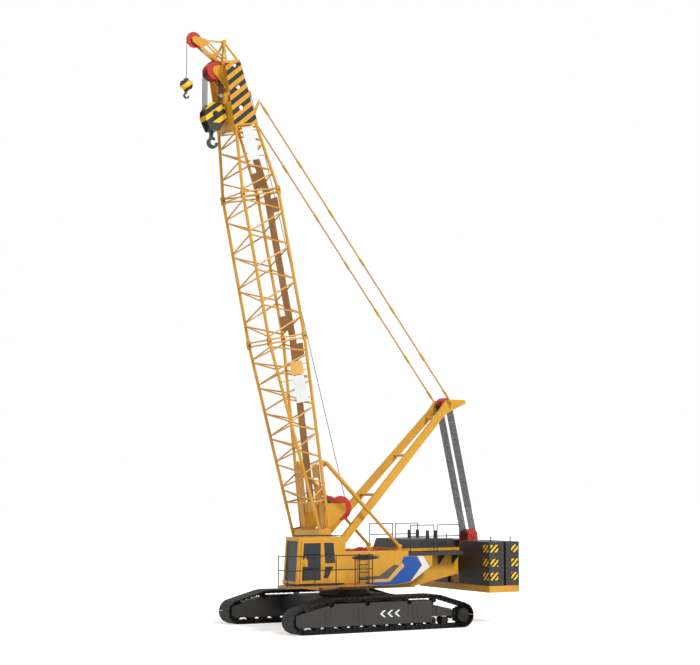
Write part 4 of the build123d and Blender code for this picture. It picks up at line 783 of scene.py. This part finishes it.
class CraneTracks(bpy.types.Operator):
    """Builds each track from shoes with two ribs, links and pins"""
    bl_idname = "crane.tracks"
    bl_label = "Tracks"

    def execute(self, context):
        # profiles as share of the shoe's length, and depth under its outer face
        shoe = ((0.03, 0.0), (0.26, 0.0), (0.33, 0.016), (0.67, 0.016), (0.74, 0.0), (0.97, 0.0),
                (0.93, 0.045), (0.07, 0.045))
        tab = ((0.2, 0.004), (0.8, 0.004), (0.72, 0.05), (0.28, 0.05))
        link = ((0.02, 0.045), (0.98, 0.045), (0.98, 0.12), (0.84, 0.158), (0.16, 0.158), (0.02, 0.12))
        for name, side in SIDES:
            low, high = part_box(f"{name}_track")
            middle, half = (low.y + high.y) / 2, (high.y - low.y) / 2
            # shoe and link, the carrier rollers' radius and the play above them
            carrier_z = high.z - 0.16 - 0.085 - 0.002
            line = track_run(high.x, 0.48, high.z, carrier_z, (2.25, -2.35))
            points = walk(line, SHOES)
            form = Form()
            for (x, z), (to_x, to_z) in zip(points, points[1:] + points[:1]):
                step = Vector((to_x - x, 0, to_z - z))
                inward = Vector((-step.z, 0, step.x)).normalized()

                def place(profile, y):
                    foot = Vector((x, middle + y, z))
                    return [foot + step * share + inward * depth for share, depth in profile]

                form.prism(place(shoe, -half + 0.02), (0, 2 * half - 0.04, 0))
                for y in (-half, half - 0.02):
                    form.prism(place(tab, y), (0, 0.02, 0))
                for y in (-0.16, 0.1):
                    form.prism(place(link, y), (0, 0.06, 0))
                pin = Vector((x, middle, z)) + inward * 0.1
                form.turned(pin - Vector((0, 0.19, 0)), (0, 1, 0), ((0, 0.024), (0.38, 0.024)), 8)
            piece = form.done(f"{name}_track_shoes", "steel_cast_dark", "undercarriage", "cast_track")
            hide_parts(f"{name}_track")
            # hub bolts of the sprocket
            low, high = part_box(f"{name}_sprocket")
            face = outer(low, high, side)
            x, z = (low.x + high.x) / 2, (low.z + high.z) / 2
            form = Form()
            form.bolts([(x + 0.15 * math.cos(turn), face, z + 0.15 * math.sin(turn)) for turn in circle(10)],
                       (0, side, 0), 0.02, 0.014)
            form.done(f"{name}_hub_bolts", "steel_forged_machined", "undercarriage", "cast_track")
        return {"FINISHED"}


class CraneStage(bpy.types.Operator):
    """Sets the floor, the light and the camera"""
    bl_idname = "crane.stage"
    bl_label = "Stage"

    def execute(self, context):
        scene = context.scene
        scene.view_settings.view_transform = "Standard"
        data = bpy.data.meshes.new("floor")
        reach = 300.0
        corners = [(-reach, -reach, 0), (reach, -reach, 0), (reach, reach, 0), (-reach, reach, 0)]
        data.from_pydata(corners, [], [(0, 1, 2, 3)])
        floor = bpy.data.objects.new("floor", data)
        scene.collection.objects.link(floor)
        material = bpy.data.materials.new("floor_matt_white")
        material.use_nodes = True
        tree = material.node_tree
        tree.nodes.clear()
        matt = add_node(tree, "ShaderNodeBsdfDiffuse", {"Color": (0.8, 0.8, 0.8)})
        strength = add_node(tree, "ShaderNodeMath", {0: seen_directly(tree), 1: 0.5}, operation="MULTIPLY")
        glow = add_node(tree, "ShaderNodeEmission", {"Color": (1, 1, 1), "Strength": strength.outputs[0]})
        both = add_node(tree, "ShaderNodeAddShader", {0: matt.outputs[0], 1: glow.outputs[0]})
        add_node(tree, "ShaderNodeOutputMaterial", {"Surface": both.outputs[0]})
        data.materials.append(material)

        world = bpy.data.worlds.new("studio")
        scene.world = world
        world.use_nodes = True
        tree = world.node_tree
        tree.nodes.clear()
        light = add_node(tree, "ShaderNodeBackground", {"Color": (1, 1, 1), "Strength": 0.45})
        white = add_node(tree, "ShaderNodeBackground", {"Color": (1, 1, 1), "Strength": 1.0})
        blend = add_node(tree, "ShaderNodeMixShader", {
            0: seen_directly(tree), 1: light.outputs[0], 2: white.outputs[0],
        })
        add_node(tree, "ShaderNodeOutputWorld", {"Surface": blend.outputs[0]})

        # name, way it shines, energy, angle that its disc fills
        suns = (("key", (0.12, -0.72, -0.68), 2.5, 0.3), ("fill", (-0.9, -0.3, -0.35), 0.4, 0.6))
        for name, way, energy, softness in suns:
            lamp = bpy.data.lights.new(name, "SUN")
            lamp.energy = energy
            lamp.angle = softness
            sun = bpy.data.objects.new(name, lamp)
            sun.rotation_euler = Vector(way).to_track_quat("-Z", "Y").to_euler()
            scene.collection.objects.link(sun)

        lens = bpy.data.cameras.new("camera")
        lens.lens = CAMERA_LENS
        lens.sensor_width = 36.0
        lens.clip_end = 1000.0
        camera = bpy.data.objects.new("camera", lens)
        camera.location = CAMERA_PLACE
        camera.rotation_euler = Vector(CAMERA_WAY).to_track_quat("-Z", "Y").to_euler()
        scene.collection.objects.link(camera)
        scene.camera = camera
        return {"FINISHED"}


class CranePanel(bpy.types.Panel):
    """Lists the crane's settings and pieces"""
    bl_idname = "VIEW3D_PT_crane"
    bl_label = "Crawler crane"
    bl_space_type = "VIEW_3D"
    bl_region_type = "UI"
    bl_category = "Crane"

    def draw(self, context):
        for group in (context.scene.crane_paint, context.scene.crane_sizes):
            for name in group.__annotations__:
                self.layout.prop(group, name)
        for operator in OPERATORS:
            self.layout.operator(operator.bl_idname)


OPERATORS = (
    CraneFinishes, CraneLivery, CraneBoomPlates, CraneRopes, CraneDrums, CraneCab, CraneUpperFittings,
    CraneCrawlers, CraneTracks, CraneStage,
)
GROUPS = (CranePaint, CraneSizes)


def register():
    for kind in (*GROUPS, *OPERATORS, CranePanel):
        bpy.utils.register_class(kind)
    bpy.types.Scene.crane_paint = bpy.props.PointerProperty(type=CranePaint)
    bpy.types.Scene.crane_sizes = bpy.props.PointerProperty(type=CraneSizes)


def unregister():
    del bpy.types.Scene.crane_sizes
    del bpy.types.Scene.crane_paint
    for kind in (CranePanel, *OPERATORS[::-1], *GROUPS[::-1]):
        bpy.utils.unregister_class(kind)


def main():
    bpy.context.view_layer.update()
    register()
    for operator in OPERATORS:
        group, name = operator.bl_idname.split(".")
        getattr(getattr(bpy.ops, group), name)()


if __name__ == "__main__":
    main()
